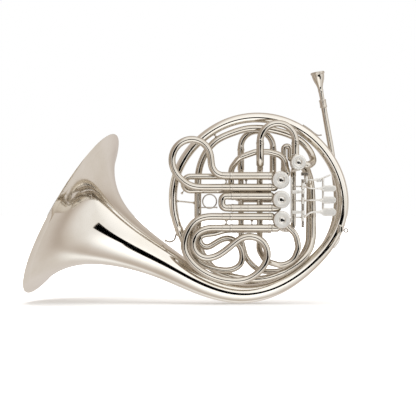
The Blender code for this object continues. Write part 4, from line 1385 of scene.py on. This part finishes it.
@dataclass(frozen=True)
class RotaryValve:
    """A rotary valve: casing, bearing cap, rotor with its stop arm, and the stop plate's corks."""

    name: str
    place: tuple[float, float]
    radius: float
    arm_angle: float
    stubs: tuple[tuple[float, float, float], ...] = ()
    knuckles: tuple[tuple[float, tuple[Point, ...]], ...] = ()
    front: float = -47.0
    back: float = -12.0
    wall: float = 3.5
    back_wall: float = 5.0
    cap_thick: float = 4.5
    stem: float = 3.0
    stub_start: float = 23.45
    slot_angle: float = -40.0

    @property
    def centre(self) -> Point:
        """The valve's axis where it crosses the loop's plane."""
        return (self.place[0], 0.0, self.place[1])

    def casing(self) -> Piece:
        """The casing: a cup turned with a bead at each end, and a knuckle for each tube that enters it.

        Returns:
            The casing's piece.
        """
        r, bore = self.radius, self.radius - self.wall
        floor, hole = self.back - self.back_wall, self.stem + 0.4
        corners = [
            (self.front, bore), (self.front, r), (self.front + 3.2, r), (self.front + 3.8, r - 0.7),
            (self.back - 3.8, r - 0.7), (self.back - 3.2, r)
        ]
        corners += [
            (self.back - 0.4, r), (self.back, r - 1.2), (self.back, r * 0.62),
            (self.back + 0.8, r * 0.58), (self.back + 0.8, hole + 1.4), (self.back + 0.8, hole),
            (floor, hole), (floor, bore)
        ]
        outline = eased(corners + corners[:1], 0.35)[:-1]
        shells = [turned(self.centre, (0, 1, 0), outline, 72, closed=True)]
        for y, z, radius in self.stubs:
            inner = self.place[0] - math.sqrt(max(r**2 - (z - self.place[1]) ** 2, 9.0)) + 3.0
            line = straight((self.stub_start, y, z), (max(inner, self.stub_start + 4), y, z))
            shells.append(
                line.rod(
                    [
                        (0, radius + 0.1), (line.length - 4.5, radius + 0.1),
                        (line.length, radius * 0.45)
                    ],
                    40, ease=1.6
                )
            )
        for radius, knots in self.knuckles:
            line = spline(knots, 200)
            shells.append(line.rod([(0, radius), (line.length, radius)], 40))
        return Piece(
            f"{self.name}_casing_shell", joined(shells), TUBING, stands_for=(f"{self.name}_casing",)
        )

    def cap(self) -> list[Piece]:
        """The bearing cap: a satin ring round a sunk bright dome with a slot across it.

        Returns:
            The cap's pieces.
        """
        r, near = self.radius, self.front - 0.4
        far = near - self.cap_thick
        well = r * 0.43
        corners = [
            (near, 0), (near, r - 0.6), (far + 1.0, r - 0.6), (far, r - 1.7), (far - 0.15, r * 0.7),
            (far, well + 0.9), (far + 0.5, well), (far + 1.9, well - 0.3), (far + 1.9, 0)
        ]
        face = turned(self.centre, (0, 1, 0), eased(corners, 0.4, 5), 72)
        top = far + 1.2
        dome = [
            (far + 2.2, 0), (far + 2.2, well - 0.55), (top + 0.9, well - 0.6),
            (top + 0.35, well * 0.72), (top, well * 0.42), (top - 0.1, 0)
        ]
        dome_shell = turned(self.centre, (0, 1, 0), eased(dome, 0.7, 6), 48)
        angle = math.radians(self.slot_angle)
        # A thin near-black plate laid on the dome: painted shade for the slot's groove, which is not cut
        # into the dome.
        slot = slab(
            box_outline(well * 1.15, 1.0, 0.45), (self.place[0], top - 0.05, self.place[1]),
            (math.cos(angle), 0, math.sin(angle)), (-math.sin(angle), 0, math.cos(angle)), 0.3, 0.1
        )
        return [
            Piece(f"{self.name}_cap_ring", face, SATIN, stands_for=(f"{self.name}_cap",)),
            Piece(f"{self.name}_cap_dome", dome_shell, BRIGHT),
            Piece(f"{self.name}_cap_slot", slot, DARK),
        ]

    def rotor(self) -> Piece:
        """The rotor, its stem and the stop arm clamped on the stem's end.

        Returns:
            The rotor's piece, on its own body.
        """
        core = self.radius - self.wall - 0.3
        front, back = self.front + 1.2, self.back - self.back_wall - 1.0
        end = self.back + 8.5
        body = turned(
            self.centre, (0, 1, 0),
            eased(
                [
                    (front, 0), (front, core), (back, core), (back, self.stem), (end, self.stem),
                    (end, 0)
                ],
                0.3
            ),
            48
        )
        a = math.radians(self.arm_angle)
        ways = (math.cos(a), 0, math.sin(a)), (-math.sin(a), 0, math.cos(a))
        arm = slab(self.arm_outline(), (self.place[0], end - 2.4, self.place[1]), *ways, 3.4, 0.7)
        tip = np.array(
            [self.place[0] + 11.0 * math.cos(a), end - 2.4, self.place[1] + 11.0 * math.sin(a)]
        )
        pin = turned(tip, (0, 1, 0), eased([(-2.0, 0), (-2.0, 1.2), (2.0, 1.2), (2.0, 0)], 0.3), 20)
        nut = turned(
            self.centre, (0, 1, 0),
            eased([(end - 0.3, 0), (end - 0.3, 2.3), (end, 2.2), (end, 0)], 0.2), 6
        )
        return Piece(
            f"{self.name}_rotor_stem", joined([body, arm, pin, nut]), STEEL, f"{self.name}_rotor",
            (f"{self.name}_rotor",)
        )

    def arm_outline(self) -> Array:
        """The stop arm seen from behind: a round hub with a finger that ends round.

        Returns:
            The outline's points, one row each.
        """
        hub = np.linspace(math.radians(35), math.radians(325), 22)
        tip = np.linspace(-math.pi / 2, math.pi / 2, 10)
        hub_points = 4.4 * np.stack([np.cos(hub), np.sin(hub)], axis=1)
        tip_points = np.array([10.6, 0.0]) + 2.0 * np.stack([np.cos(tip), np.sin(tip)], axis=1)
        return np.concatenate([hub_points, tip_points])

    def corks(self) -> Piece:
        """The two cork bumpers on the back plate that stop the arm at each end of its quarter turn.

        Returns:
            One piece that holds both corks.
        """
        shells = []
        for side in (math.radians(self.arm_angle + 52), math.radians(self.arm_angle - 142)):
            centre = (
                self.place[0] + self.radius * 0.66 * math.cos(side), 0.0,
                self.place[1] + self.radius * 0.66 * math.sin(side)
            )
            shells.append(
                turned(
                    centre, (0, 1, 0),
                    eased(
                        [
                            (self.back + 0.7, 0), (self.back + 0.7, 1.9), (self.back + 3.6, 1.9),
                            (self.back + 3.6, 0)
                        ],
                        0.4
                    ),
                    20
                )
            )
        return Piece(f"{self.name}_corks", joined(shells), CORK)

    def pieces(self) -> list[Piece]:
        """Every piece of the valve."""
        return [self.casing(), *self.cap(), self.rotor(), self.corks()]


def valves() -> list[RotaryValve]:
    """The three finger valves and the change valve.

    Returns:
        The four valves, from the first to the change valve.
    """
    first = (
        (5.8, ((50.5, -18.0, 57.45), (51.0, -18.0, 54.5), (48.5, -18.0, 50.0), (44.0, -18.0, 46.0))),
        (5.2, ((46.0, -5.0, 58.45), (46.0, -6.5, 57.2), (45.5, -13.0, 55.5), (43.5, -20.0, 50.0))),
        (5.9, ((28.0, 14.0, 60.0), (28.0, 13.0, 54.5), (29.5, 4.0, 49.5), (32.0, -14.0, 46.0))),
    )
    second = ((5.7, ((23.5, -6.5, 8.0), (25.5, -7.5, 8.0), (28.0, -13.0, 8.0), (30.0, -20.0, 8.0))),)
    third = (
        (5.7, ((53.0, -25.0, -40.0), (50.0, -25.0, -37.2), (46.0, -25.0, -33.5))),
        (4.6, ((49.0, 4.0, -44.0), (45.5, 2.5, -43.8), (43.5, -7.0, -42.0), (42.5, -16.0, -36.0))),
    )
    change = (
        (6.6, ((65.0, -31.0, 86.6), (65.6, -31.0, 83.0), (66.5, -31.0, 78.0))),
        (6.6, ((84.5, -19.0, 62.0), (82.0, -22.6, 66.3), (75.0, -26.0, 70.0))),
        (6.5, ((88.0, -35.5, 68.0), (84.5, -39.0, 67.5), (76.0, -39.5, 70.0))),
        (4.8, ((57.0, -5.0, 81.5), (57.4, -6.5, 79.8), (60.0, -13.0, 77.5), (63.0, -20.0, 75.0))),
        (5.0, ((63.0, 4.0, 57.0), (63.3, 2.5, 58.6), (64.0, -9.0, 60.5), (66.0, -18.0, 65.0))),
        (5.0, ((78.0, 2.0, 68.0), (76.5, 0.4, 69.6), (74.0, -6.0, 71.5), (72.0, -16.0, 72.0))),
    )
    f, r = FRONT_SLEEVE, REAR_SLEEVE
    return [
        RotaryValve(
            "valve_1", (39.0, 42.0), 15.0, 45.0,
            ((FRONT_Y, 49.0, f), (FRONT_Y, 29.0, f), (REAR_Y, 48.0, r)), first
        ),
        RotaryValve(
            "valve_2", (40.0, 8.0), 15.0, 45.0, ((FRONT_Y, 14.0, f), (FRONT_Y, -6.6, f)), second
        ),
        RotaryValve(
            "valve_3", (41.0, -27.0), 15.0, 45.0,
            ((FRONT_Y, -21.4, f), (REAR_Y, -22.0, r), (FRONT_Y, -41.2, f)), third
        ),
        RotaryValve("change_valve", (69.5, 72.0), 13.5, -45.0, (), change, slot_angle=-20.0),
    ]


# ---------------------------------------------------------------- levers


@dataclass(frozen=True)
class LeverRack:
    """The hinge rod on its bridge, and the three finger levers that turn on it."""

    hinge: tuple[float, float] = (77.0, -48.0)
    rod_radius: float = 1.5
    hub_radius: float = 3.2
    hub_length: float = 11.0
    paddle_y: float = -54.0
    crank_y: float = -6.5
    link_reach: float = 13.0
    levers: tuple[tuple[str, float, float, float], ...] = (
        ("1", 31.0, 27.0, 5.4), ("2", 6.0, 7.0, 6.2), ("3", -23.0, -13.5, 6.9)
    )

    def bridge(self) -> Piece:
        """The strap beside the casings with two saddles for the hinge rod.

        Returns:
            The bridge's piece.
        """
        x, y = self.hinge
        strap = slab(box_outline(12.0, 79.0, 1.5), (58.0, -40.0, 7.5), (0, 1, 0), (0, 0, 1), 2.0, 0.5)
        shells = [strap]
        for low, high in ((18.3, 24.0), (-16.6, -11.0)):
            middle = (low + high) / 2
            shells.append(
                slab(
                    box_outline(13.0, high - low, 1.2), (64.5, y, middle), (1, 0, 0), (0, 0, 1), 5.4,
                    0.9
                )
            )
            shells.append(
                turned(
                    (x, y, middle), (0, 0, 1),
                    eased(
                        [
                            (-2.8, self.rod_radius + 0.4), (-2.8, 3.0), (2.8, 3.0),
                            (2.8, self.rod_radius + 0.4), (-2.8, self.rod_radius + 0.4)
                        ],
                        0.4
                    )[:-1],
                    32, closed=True
                )
            )
            shells.append(
                slab(
                    box_outline(5.5, (high - low) * 0.8, 0.6), (72.5, y, middle), (1, 0, 0), (0, 0, 1),
                    4.0, 0.6
                )
            )
        for z in (40.0, 21.0, -14.0, -26.0):
            shells.append(
                turned(
                    (58.9, -37.5, z), (1, 0, 0),
                    eased([(-0.5, 0), (-0.5, 2.0), (0.9, 2.0), (0.9, 0)], 0.5), 20
                )
            )
        return Piece("lever_bridge_plate", joined(shells), SATIN, stands_for=("lever_bridge",))

    def rod(self) -> Piece:
        """The hinge rod with its screw heads.

        Returns:
            The rod's piece.
        """
        outline = [
            (-40.0, 0), (-40.0, 2.6), (-37.5, 2.6), (-37.5, self.rod_radius), (40.5, self.rod_radius),
            (40.5, 2.6), (43.0, 2.6), (43.0, 0)
        ]
        return Piece(
            "hinge_rod_steel", turned((*self.hinge, 0), (0, 0, 1), eased(outline, 0.4), 32), STEEL,
            stands_for=("hinge_rod",)
        )

    def springs(self) -> Piece:
        """The return springs wound round the rod beside each lever's hub.

        Returns:
            One piece that holds all the springs.
        """
        spans = ((12.0, 17.8, 5), (-10.6, 0.0, 8), (-36.8, -29.2, 7), (37.0, 40.1, 3))
        shells = [
            coil((*self.hinge, low), (0, 0, 1), high - low, 2.35, 0.38, turns)
            for low, high, turns in spans
        ]
        return Piece("return_springs", joined(shells), STEEL)

    def paddle(self, z: float, half: float) -> Shell:
        """A spatula finger touch: a neck that widens into a long round-ended plate, slightly crowned.

        Args:
            z: Height of the touch's middle.
            half: Half of its widest width.

        Returns:
            The closed surface of the touch.
        """
        start, end = 106.0, 134.0 - half
        tip = np.linspace(-math.pi / 2, math.pi / 2, 19)
        rise = np.linspace(0, 1, 8)[:-1]
        flare = half * (0.35 + 0.65 * (3 * rise**2 - 2 * rise**3))
        low = np.stack([start + 9 * rise, -flare], axis=1)
        round_end = np.stack([end + half * np.cos(tip), half * np.sin(tip)], axis=1)
        middle = np.stack([np.linspace(start + 9, end, 6)[:-1], np.full(5, -half)], axis=1)
        outline = np.concatenate([low, middle, round_end, middle[::-1] * [1, -1], low[::-1] * [1, -1]])
        return slab(outline, (0, self.paddle_y, z), (1, 0, 0), (0, 0, 1), 2.0, 0.7, 0.25)

    def lever(self, number: str, hub_z: float, arm_z: float, half: float) -> Piece:
        """One finger lever: hub, arm and touch to the right, crank and link to the back.

        Args:
            number: The lever's number, as in its name.
            hub_z: Height of the hub.
            arm_z: Height of the touch.
            half: Half width of the touch.

        Returns:
            The lever's piece, on its own body.
        """
        x, y = self.hinge
        low, inner, outer = -self.hub_length / 2, self.rod_radius + 0.4, self.hub_radius
        half_hub = [(low, inner), (low, outer), (low + 1.2, outer), (low + 1.4, 2.8)]
        outline = half_hub + [(-along, out) for along, out in half_hub[::-1]] + half_hub[:1]
        outline = eased(outline, 0.25)[:-1]
        hub = turned((x, y, hub_z), (0, 0, 1), outline, 40, closed=True)
        arm_line = arcs(
            [(x + 2.3, y - 0.8, hub_z), (x + 12, self.paddle_y, arm_z), (112.0, self.paddle_y, arm_z)],
            14.0
        )
        arm = arm_line.rod(
            [(0, 2.1), (8, 1.7), (24, 1.6), (arm_line.length, 2.3)], 24, flat=0.8, power=0.7
        )
        crank_line = arcs(
            [(x, y + 2.4, hub_z), (x, self.crank_y, hub_z), (x - self.link_reach, self.crank_y, hub_z)],
            4.0
        )
        crank = crank_line.rod(
            [(0, 1.9), (6, 1.5), (crank_line.length - 6, 1.2), (crank_line.length, 1.2)], 20
        )
        ball = turned(
            (x - self.link_reach + 0.5, self.crank_y, hub_z), (1, 0, 0),
            1.5 * np.stack(
                [-np.cos(np.linspace(0, math.pi, 13)), np.sin(np.linspace(0, math.pi, 13))], axis=1
            ),
            20
        )
        return Piece(
            f"lever_{number}_touch", joined([hub, arm, crank, ball, self.paddle(arm_z, half)]), SATIN,
            f"lever_{number}", (f"lever_{number}",)
        )

    def pieces(self) -> list[Piece]:
        """The bridge, the rod, its springs and the levers."""
        return [
            self.bridge(), self.rod(), self.springs(), *(self.lever(*lever) for lever in self.levers)
        ]


@dataclass(frozen=True)
class ThumbLever:
    """The change valve's lever and the pin it turns on."""

    pin: tuple[float, float] = (84.0, -28.0)

    def bracket(self) -> Piece:
        """The foot on the inner crook, with the pin below it.

        Returns:
            The bracket's piece.
        """
        foot = slab(box_outline(13.0, 6.0, 1.4), (81.5, -28.75, 52.5), (1, 0, 0), (0, 0, 1), 10.0, 1.2)
        outline = eased([(34.5, 0), (34.5, 2.6), (36.6, 2.6), (36.6, 1.5), (51.0, 1.5), (51.0, 0)], 0.4)
        return Piece(
            "thumb_pin_bracket", joined([foot, turned((*self.pin, 0), (0, 0, 1), outline, 28)]), STEEL,
            stands_for=("thumb_bracket",)
        )

    def lever(self) -> Piece:
        """Hub, arm, side touch and the long flat bar that the thumb pulls.

        Returns:
            The lever's piece, on its own body.
        """
        x, y = self.pin
        hub_outline = eased([(37.5, 1.9), (37.5, 3.2), (48.5, 3.2), (48.5, 1.9), (37.5, 1.9)], 0.4)[:-1]
        hub = turned((x, y, 0), (0, 0, 1), hub_outline, 36, closed=True)
        arm_line = straight((x + 2.3, y, 42.5), (104.0, -30.0, 42.0))
        arm = arm_line.rod([(0, 1.9), (arm_line.length, 1.6)], 20)
        touch = slab(
            box_outline(9.5, 6.4, 2.4, 8), (105.75, -30.0, 41.8), (1, 0, 0), (0, 0, 1), 2.4, 0.8
        )
        bar = slab(box_outline(3.4, 54.0, 1.6, 8), (113.0, -30.0, 18.0), (1, 0, 0), (0, 0, 1), 7.6, 1.3)
        tip_line = straight((106.0, -30.0, 42.5), (126.0, -30.0, 51.0))
        tip = tip_line.rod([(0, 1.5), (tip_line.length - 3, 1.3), (tip_line.length, 1.3)], 20, ease=0.8)
        return Piece(
            "thumb_lever_touch", joined([hub, arm, touch, bar, tip]), SATIN, "thumb_lever",
            ("thumb_lever",)
        )

    def pieces(self) -> list[Piece]:
        """The bracket and the lever."""
        return [self.bracket(), self.lever()]


# ---------------------------------------------------------------- fittings


@dataclass(frozen=True)
class Fittings:
    """Mouthpiece, little-finger hook and the braces between the tubes."""

    hook_y: float = -14.4

    def mouthpiece(self) -> Piece:
        """Rim, cup and tapered shank, turned in one.

        Returns:
            The mouthpiece's piece, on its own body.
        """
        way, top = (0.1755, 0.0, -0.9845), (106.2, 18.0, 233.0)
        outside = [
            (0.5, 9.4), (0.0, 10.6), (0.4, 11.9), (2.0, 12.6), (3.6, 12.3), (4.8, 11.2), (9.0, 10.7),
            (14.0, 9.6), (18.5, 8.0), (23.0, 6.2), (27.0, 5.0), (31.0, 4.5), (33.0, 4.7), (35.0, 4.7),
            (37.0, 4.3), (49.0, 3.9), (68.0, 3.6)
        ]
        bore = [
            (68.0, 2.9), (45.0, 2.4), (31.0, 2.1), (26.0, 2.5), (20.0, 4.9), (10.0, 7.3), (3.0, 8.7),
            (0.5, 9.4)
        ]
        outline = eased(outside + bore, 0.9, 6)[:-1]
        return Piece(
            "mouthpiece_turned", turned(top, way, outline, 72, closed=True), TUBING, "mouthpiece",
            ("mouthpiece",)
        )

    def hook(self) -> list[Piece]:
        """The hook's clamp on the body loop, the hook and its thumb screw.

        Returns:
            The pieces of the clamp, the hook and its screw.
        """
        y = self.hook_y
        clamp = [
            slab(box_outline(8.8, 12.3, 2.4, 8), (144.0, y, -43.25), (1, 0, 0), (0, 0, 1), 6.1, 1.4)
        ]
        clamp.append(
            turned(
                (143.0, y, 0), (0, 0, 1),
                eased(
                    [
                        (-50.3, 1.95), (-50.3, 3.4), (-48.6, 3.6), (-37.6, 3.6), (-36.4, 3.4),
                        (-36.4, 1.95), (-50.3, 1.95)
                    ],
                    0.3
                )[:-1],
                32, closed=True
            )
        )
        corners = [(143.0, y, -35.0), (143.0, y, -56.0), (142.0, -19.0, -62.0), (131.0, -30.0, -76.0)]
        line = arcs(corners, 8.0)
        stem = line.rod(
            [
                (0, 1.5), (21, 1.5), (26, 2.6), (31, 4.1), (38, 4.3), (45, 3.7),
                (line.length - 2.5, 3.0), (line.length, 1.6)
            ],
            28, flat=0.42, power=0.85, ease=1.2
        )
        head_middle = (154.0, y, -45.5)
        shank = straight((146.3, y, -45.5), (150.4, y, -45.5)).rod([(0, 0.9), (4.1, 0.9)], 16)
        eye = ring(head_middle, 3.2, 1.0, 48, 14)
        return [
            Piece("hook_clamp_block", joined(clamp), TUBING, stands_for=("hook_clamp",)),
            Piece("finger_hook_tongue", stem, SATIN, "finger_hook", ("finger_hook",)),
            Piece("hook_thumb_screw", joined([eye, shank]), STEEL, "hook_screw", ("hook_screw",)),
        ]

    def braces(self) -> list[Piece]:
        """Posts and wires that tie the tubes together.

        Returns:
            The piece of each brace.
        """
        top = wire_brace(on_loop(121.5, 138.4), on_loop(121.5, 142.6), 1.4, 2.6)
        left_line = straight((-140.6, 0.0, 5.6), (-109.8, 0.0, 2.5))
        left = left_line.rod(
            [
                (0, 2.6), (1.6, 2.2), (3.2, 1.35), (left_line.length - 3.0, 1.35),
                (left_line.length - 1.6, 2.4), (left_line.length, 3.0)
            ],
            24, ease=0.8
        )
        bell_line = arcs(
            [(-141.5, -9.0, -51.5), (-145.0, -9.0, -63.0), (-153.0, -5.0, -66.0), (-161.0, 0.3, -63.3)],
            6.0
        )
        bell_wire = bell_line.rod(
            [(0, 1.9), (1.5, 1.35), (bell_line.length - 2.5, 1.35), (bell_line.length, 2.6)], 16,
            ease=0.6
        )
        lead_line = spline(
            [
                (80.0, 1.0, 138.8), (90.0, 3.5, 132.4), (99.0, 7.5, 125.6), (106.5, 12.0, 121.4),
                (113.2, 17.0, 122.0)
            ],
            200
        )
        lead_wire = lead_line.rod(
            [(0, 1.6), (1.5, 1.15), (lead_line.length - 1.5, 1.15), (lead_line.length, 1.6)], 16,
            ease=0.6
        )
        return [
            Piece("top_post", top, TUBING, stands_for=("top_brace",)),
            Piece("left_flanged_post", left, TUBING, stands_for=("left_brace",)),
            Piece("bell_wire", bell_wire, STEEL, stands_for=("bell_brace",)),
            Piece("leadpipe_wire", lead_wire, STEEL, stands_for=("leadpipe_brace",)),
        ]

    def pieces(self) -> list[Piece]:
        """Every fitting."""
        return [self.mouthpiece(), *self.hook(), *self.braces()]


# ---------------------------------------------------------------- studio


# Brightness of the light tent at angles below the camera's view, on its left, middle and right.
BRIGHTEST = 2.0
LEFT_LIGHT = {
    -180: 0.6, -135: 0.66, -90: 0.6, -60: 0.6, -30: 0.5, 0: 0.4, 30: 0.6, 45: 0.75, 70: 0.6, 95: 0.6,
    110: 0.95, 125: 0.7, 180: 0.6
}
MIDDLE_LIGHT = {
    -180: 0.6, -150: 0.68, -120: 0.62, -98: 0.7, -85: 1.15, -60: 1.25, -30: 1.35, -8: 1.4, 8: 1.7,
    38: 1.7, 55: 1.2, 70: 0.82, 88: 0.62, 100: 0.72, 110: 1.35, 120: 1.0, 132: 0.8, 160: 0.8, 180: 0.6
}
RIGHT_LIGHT = {
    -180: 0.8, -150: 0.76, -128: 0.6, -108: 0.55, -98: 1.15, -85: 1.35, -45: 1.3, -15: 1.15, 0: 1.05,
    45: 1.05, 75: 0.9, 95: 0.7, 108: 0.52, 125: 0.76, 150: 0.85, 180: 0.8
}


@dataclass(frozen=True)
class Studio:
    """A pale floor, a soft surround with a dark slit beside the camera, an overhead panel and the camera."""

    floor_colour: str = "#F6F6F5"
    floor_reach: float = 30.0
    lens_drop: float = 0.08
    lens_width: tuple[float, float] = (12.5, 15.5)
    slit_tilt: float = 19.0
    slit_drop: float = 1.0
    slit_width: tuple[float, float] = (8.0, 9.5)
    slit_start: tuple[float, float] = (-15.0, -11.0)
    slit_end: tuple[float, float] = (48.0, 50.0)
    camera_place: Point = (-0.2358, -3.0, -0.0145)
    view_width: float = 0.728
    sensor: float = 36.0

    def floor(self) -> None:
        """A wide round floor under the horn, which fades into the white of the background.

        It stays out of the metal's mirror images, so that they show the surround alone. Its glow rises
        smoothly from nothing beside the horn to full white a few lengths away.
        """
        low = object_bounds()[0][2]
        angles = np.linspace(0, 2 * math.pi, 96, endpoint=False)
        mesh = bpy.data.meshes.new("studio_floor")
        rim = np.stack(
            [
                self.floor_reach * np.cos(angles), self.floor_reach * np.sin(angles),
                np.full(96, low - 0.0006)
            ],
            axis=1
        )
        mesh.from_pydata(rim.tolist(), [], [tuple(range(96))])
        paint = bpy.data.materials.new("studio_floor_matt_paint")
        paint.use_nodes = True
        tree = paint.node_tree
        shader = tree.nodes["Principled BSDF"]
        shader.inputs["Base Color"].default_value = linear(self.floor_colour)
        shader.inputs["Roughness"].default_value = 0.9
        shader.inputs["Specular IOR Level"].default_value = 0.1
        shader.inputs["Emission Color"].default_value = (1.0, 1.0, 1.0, 1.0)
        place = add_node(tree, "ShaderNodeTexCoord")
        away = add_node(tree, "ShaderNodeVectorMath", {0: place.outputs["Object"]}, operation="LENGTH")
        glow = {
            "Value": away.outputs["Value"], "From Min": 0.35, "From Max": 1.6, "To Min": 0.12,
            "To Max": 1.0
        }
        fade = add_node(tree, "ShaderNodeMapRange", glow, interpolation_type="SMOOTHSTEP")
        tree.links.new(fade.outputs["Result"], shader.inputs["Emission Strength"])
        mesh.materials.append(paint)
        floor = bpy.data.objects.new("studio_floor", mesh)
        bpy.context.scene.collection.objects.link(floor)
        floor.visible_glossy = False
        floor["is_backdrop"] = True

    def surround(self) -> None:
        """The world: white to the camera, and to everything else a light tent with a dark slit.

        The light from direction d is read from three rings round the X axis, one for the left, the middle
        and the right, at the angle below the view from the camera, atan2(-z, -y), and is blended between
        them by x. The slit darkens it where d lies within slit_width of a circle tilted by slit_tilt, from
        slit_start to slit_end along it, and a round patch darkens it where the camera stands. All their
        edges are soft.
        """
        world = bpy.data.worlds.new("studio_surround")
        bpy.context.scene.world = world
        world.use_nodes = True
        tree = world.node_tree
        tree.nodes.clear()
        way = add_node(tree, "ShaderNodeTexCoord").outputs["Generated"]
        x, y, z = (add_node(tree, "ShaderNodeSeparateXYZ", {"Vector": way}).outputs[k] for k in "XYZ")

        def smooth(
            value: object, low: float, high: float, start: float = 0.0, end: float = 1.0
        ) -> bpy.types.NodeSocket:
            """Runs smoothly from start to end while the value goes from low to high.

            Args:
                value: Socket that is read.
                low: Value where the change starts.
                high: Value where it ends.
                start: Result below low.
                end: Result above high.

            Returns:
                The socket that gives the smoothed share.
            """
            inputs = {"Value": value, "From Min": low, "From Max": high, "To Min": start, "To Max": end}
            return add_node(
                tree, "ShaderNodeMapRange", inputs, interpolation_type="SMOOTHSTEP"
            ).outputs["Result"]

        def maths(operation: str, *values: object) -> bpy.types.NodeSocket:
            """One sum on sockets or numbers.

            Args:
                operation: Name of the operation.
                *values: Sockets or numbers, in the operation's order.

            Returns:
                The socket that gives the result.
            """
            return add_node(
                tree, "ShaderNodeMath", dict(enumerate(values)), operation=operation
            ).outputs[0]

        below = maths("ARCTAN2", maths("MULTIPLY", z, -1.0), maths("MULTIPLY", y, -1.0))
        turn = maths("ADD", maths("DIVIDE", below, 2 * math.pi), 0.5)
        left, middle, right = (
            self.ring_of_light(tree, turn, levels) for levels in (LEFT_LIGHT, MIDDLE_LIGHT, RIGHT_LIGHT)
        )
        level = maths(
            "ADD", middle, maths("MULTIPLY", smooth(x, -0.15, -0.62), maths("SUBTRACT", left, middle))
        )
        level = maths(
            "ADD", level, maths("MULTIPLY", smooth(x, 0.12, 0.6), maths("SUBTRACT", right, middle))
        )
        tilt = math.radians(self.slit_tilt)
        run = maths("ADD", maths("MULTIPLY", x, math.cos(tilt)), maths("MULTIPLY", z, -math.sin(tilt)))
        off = maths("ADD", maths("MULTIPLY", x, math.sin(tilt)), maths("MULTIPLY", z, math.cos(tilt)))
        run = maths("ARCTAN2", run, maths("MULTIPLY", y, -1.0))
        off = maths("ADD", off, math.sin(math.radians(self.slit_drop)))
        inside = smooth(
            maths("ABSOLUTE", off), *(math.sin(math.radians(a)) for a in self.slit_width), 1.0, 0.0
        )
        inside = maths("MULTIPLY", inside, smooth(run, *(math.radians(a) for a in self.slit_start)))
        inside = maths(
            "MULTIPLY", inside, smooth(run, *(math.radians(a) for a in self.slit_end), 1.0, 0.0)
        )
        lens = maths(
            "SQRT",
            maths("ADD", maths("POWER", x, 2.0), maths("POWER", maths("ADD", z, self.lens_drop), 2.0))
        )
        lens = smooth(lens, *(math.sin(math.radians(a)) for a in self.lens_width), 1.0, 0.0)
        inside = maths("MAXIMUM", inside, maths("MULTIPLY", lens, smooth(y, -0.5, 0.0, 1.0, 0.0)))
        level = maths("MULTIPLY", level, maths("SUBTRACT", 1.0, inside))
        tint = add_node(tree, "ShaderNodeMix", {"Factor": smooth(level, 0.35, 1.15)}, data_type="RGBA")
        tint.inputs[6].default_value = (1.0, 0.86, 0.76, 1.0)
        tint.inputs[7].default_value = (1.0, 1.01, 1.03, 1.0)
        soft = add_node(tree, "ShaderNodeBackground", {"Color": tint.outputs[2], "Strength": level})
        white = add_node(tree, "ShaderNodeBackground", {"Color": (1.0, 1.0, 1.0, 1.0), "Strength": 1.0})
        ray = add_node(tree, "ShaderNodeLightPath")
        mixed = add_node(
            tree, "ShaderNodeMixShader",
            {0: ray.outputs["Is Camera Ray"], 1: soft.outputs[0], 2: white.outputs[0]}
        )
        add_node(tree, "ShaderNodeOutputWorld", {"Surface": mixed.outputs[0]})

    def ring_of_light(
        self, tree: bpy.types.NodeTree, turn: bpy.types.NodeSocket, levels: dict[int, float]
    ) -> bpy.types.NodeSocket:
        """How bright one ring of the surround is.

        Args:
            tree: The world's node tree.
            turn: The angle below the camera as a share of a turn, with half a turn added.
            levels: Brightness at each angle below the camera's view, in degrees.

        Returns:
            The brightness, eased between the given angles.
        """
        ramp = add_node(tree, "ShaderNodeValToRGB", {"Fac": turn})
        ramp.color_ramp.interpolation = "B_SPLINE"
        stops = ramp.color_ramp.elements
        while len(stops) > 1:
            stops.remove(stops[-1])
        for count, (angle, level) in enumerate(sorted(levels.items())):
            stop = stops[0] if count == 0 else stops.new(angle / 360 + 0.5)
            stop.position = angle / 360 + 0.5
            stop.color = (level / BRIGHTEST,) * 3 + (1.0,)
        return add_node(
            tree, "ShaderNodeMath", {0: ramp.outputs["Color"], 1: BRIGHTEST}, operation="MULTIPLY"
        ).outputs[0]

    def panel(self) -> None:
        """A large soft panel overhead, which grounds the horn with a faint shadow."""
        light = bpy.data.lights.new("overhead_panel", "AREA")
        light.shape, light.size, light.size_y, light.energy = "RECTANGLE", 2.4, 2.4, 26.0
        lamp = bpy.data.objects.new("overhead_panel", light)
        lamp.location = (-0.2, -0.2, 2.2)
        lamp.visible_glossy = False
        bpy.context.scene.collection.objects.link(lamp)

    def camera(self) -> None:
        """The camera, level and square to the loop."""
        lens = bpy.data.cameras.new("camera")
        lens.sensor_width = self.sensor
        lens.lens = self.sensor * -self.camera_place[1] / self.view_width
        made = bpy.data.objects.new("camera", lens)
        made.location = self.camera_place
        made.rotation_euler = (math.pi / 2, 0, 0)
        bpy.context.scene.collection.objects.link(made)
        bpy.context.scene.camera = made

    def build(self) -> None:
        """Sets up the whole studio."""
        bpy.context.scene.view_settings.view_transform = "Standard"
        self.floor()
        self.surround()
        self.panel()
        self.camera()


def main() -> None:
    """Builds every sub-assembly in order and reports each piece."""
    logging.basicConfig(level=logging.INFO, format="%(message)s")
    body = BodyTube()
    knob = turned(
        (-130.6, REAR_Y, 20.4), (0.6, 0, 0.8),
        eased([(-3.4, 0), (-3.4, 1.6), (-1.6, 2.1), (0.2, 1.4), (0.8, 0.9), (5.0, 0.9), (5.0, 0)], 0.6),
        24
    )
    sets: list[list[Piece]] = [body.pieces(), FixedTubes(body).pieces()]
    sets += [slide().pieces() for slide in (first_slide, second_slide, third_slide, third_rear_slide)]
    sets += [
        first_rear_slide().pieces([knob]), main_slide().pieces(), rear_main_slide().pieces(),
        [pull_ring()]
    ]
    sets += [valve.pieces() for valve in valves()]
    sets += [LeverRack().pieces(), ThumbLever().pieces(), Fittings().pieces()]
    for pieces in sets:
        for piece in pieces:
            piece.place()
    Studio().build()


if __name__ == "__main__":
    main()
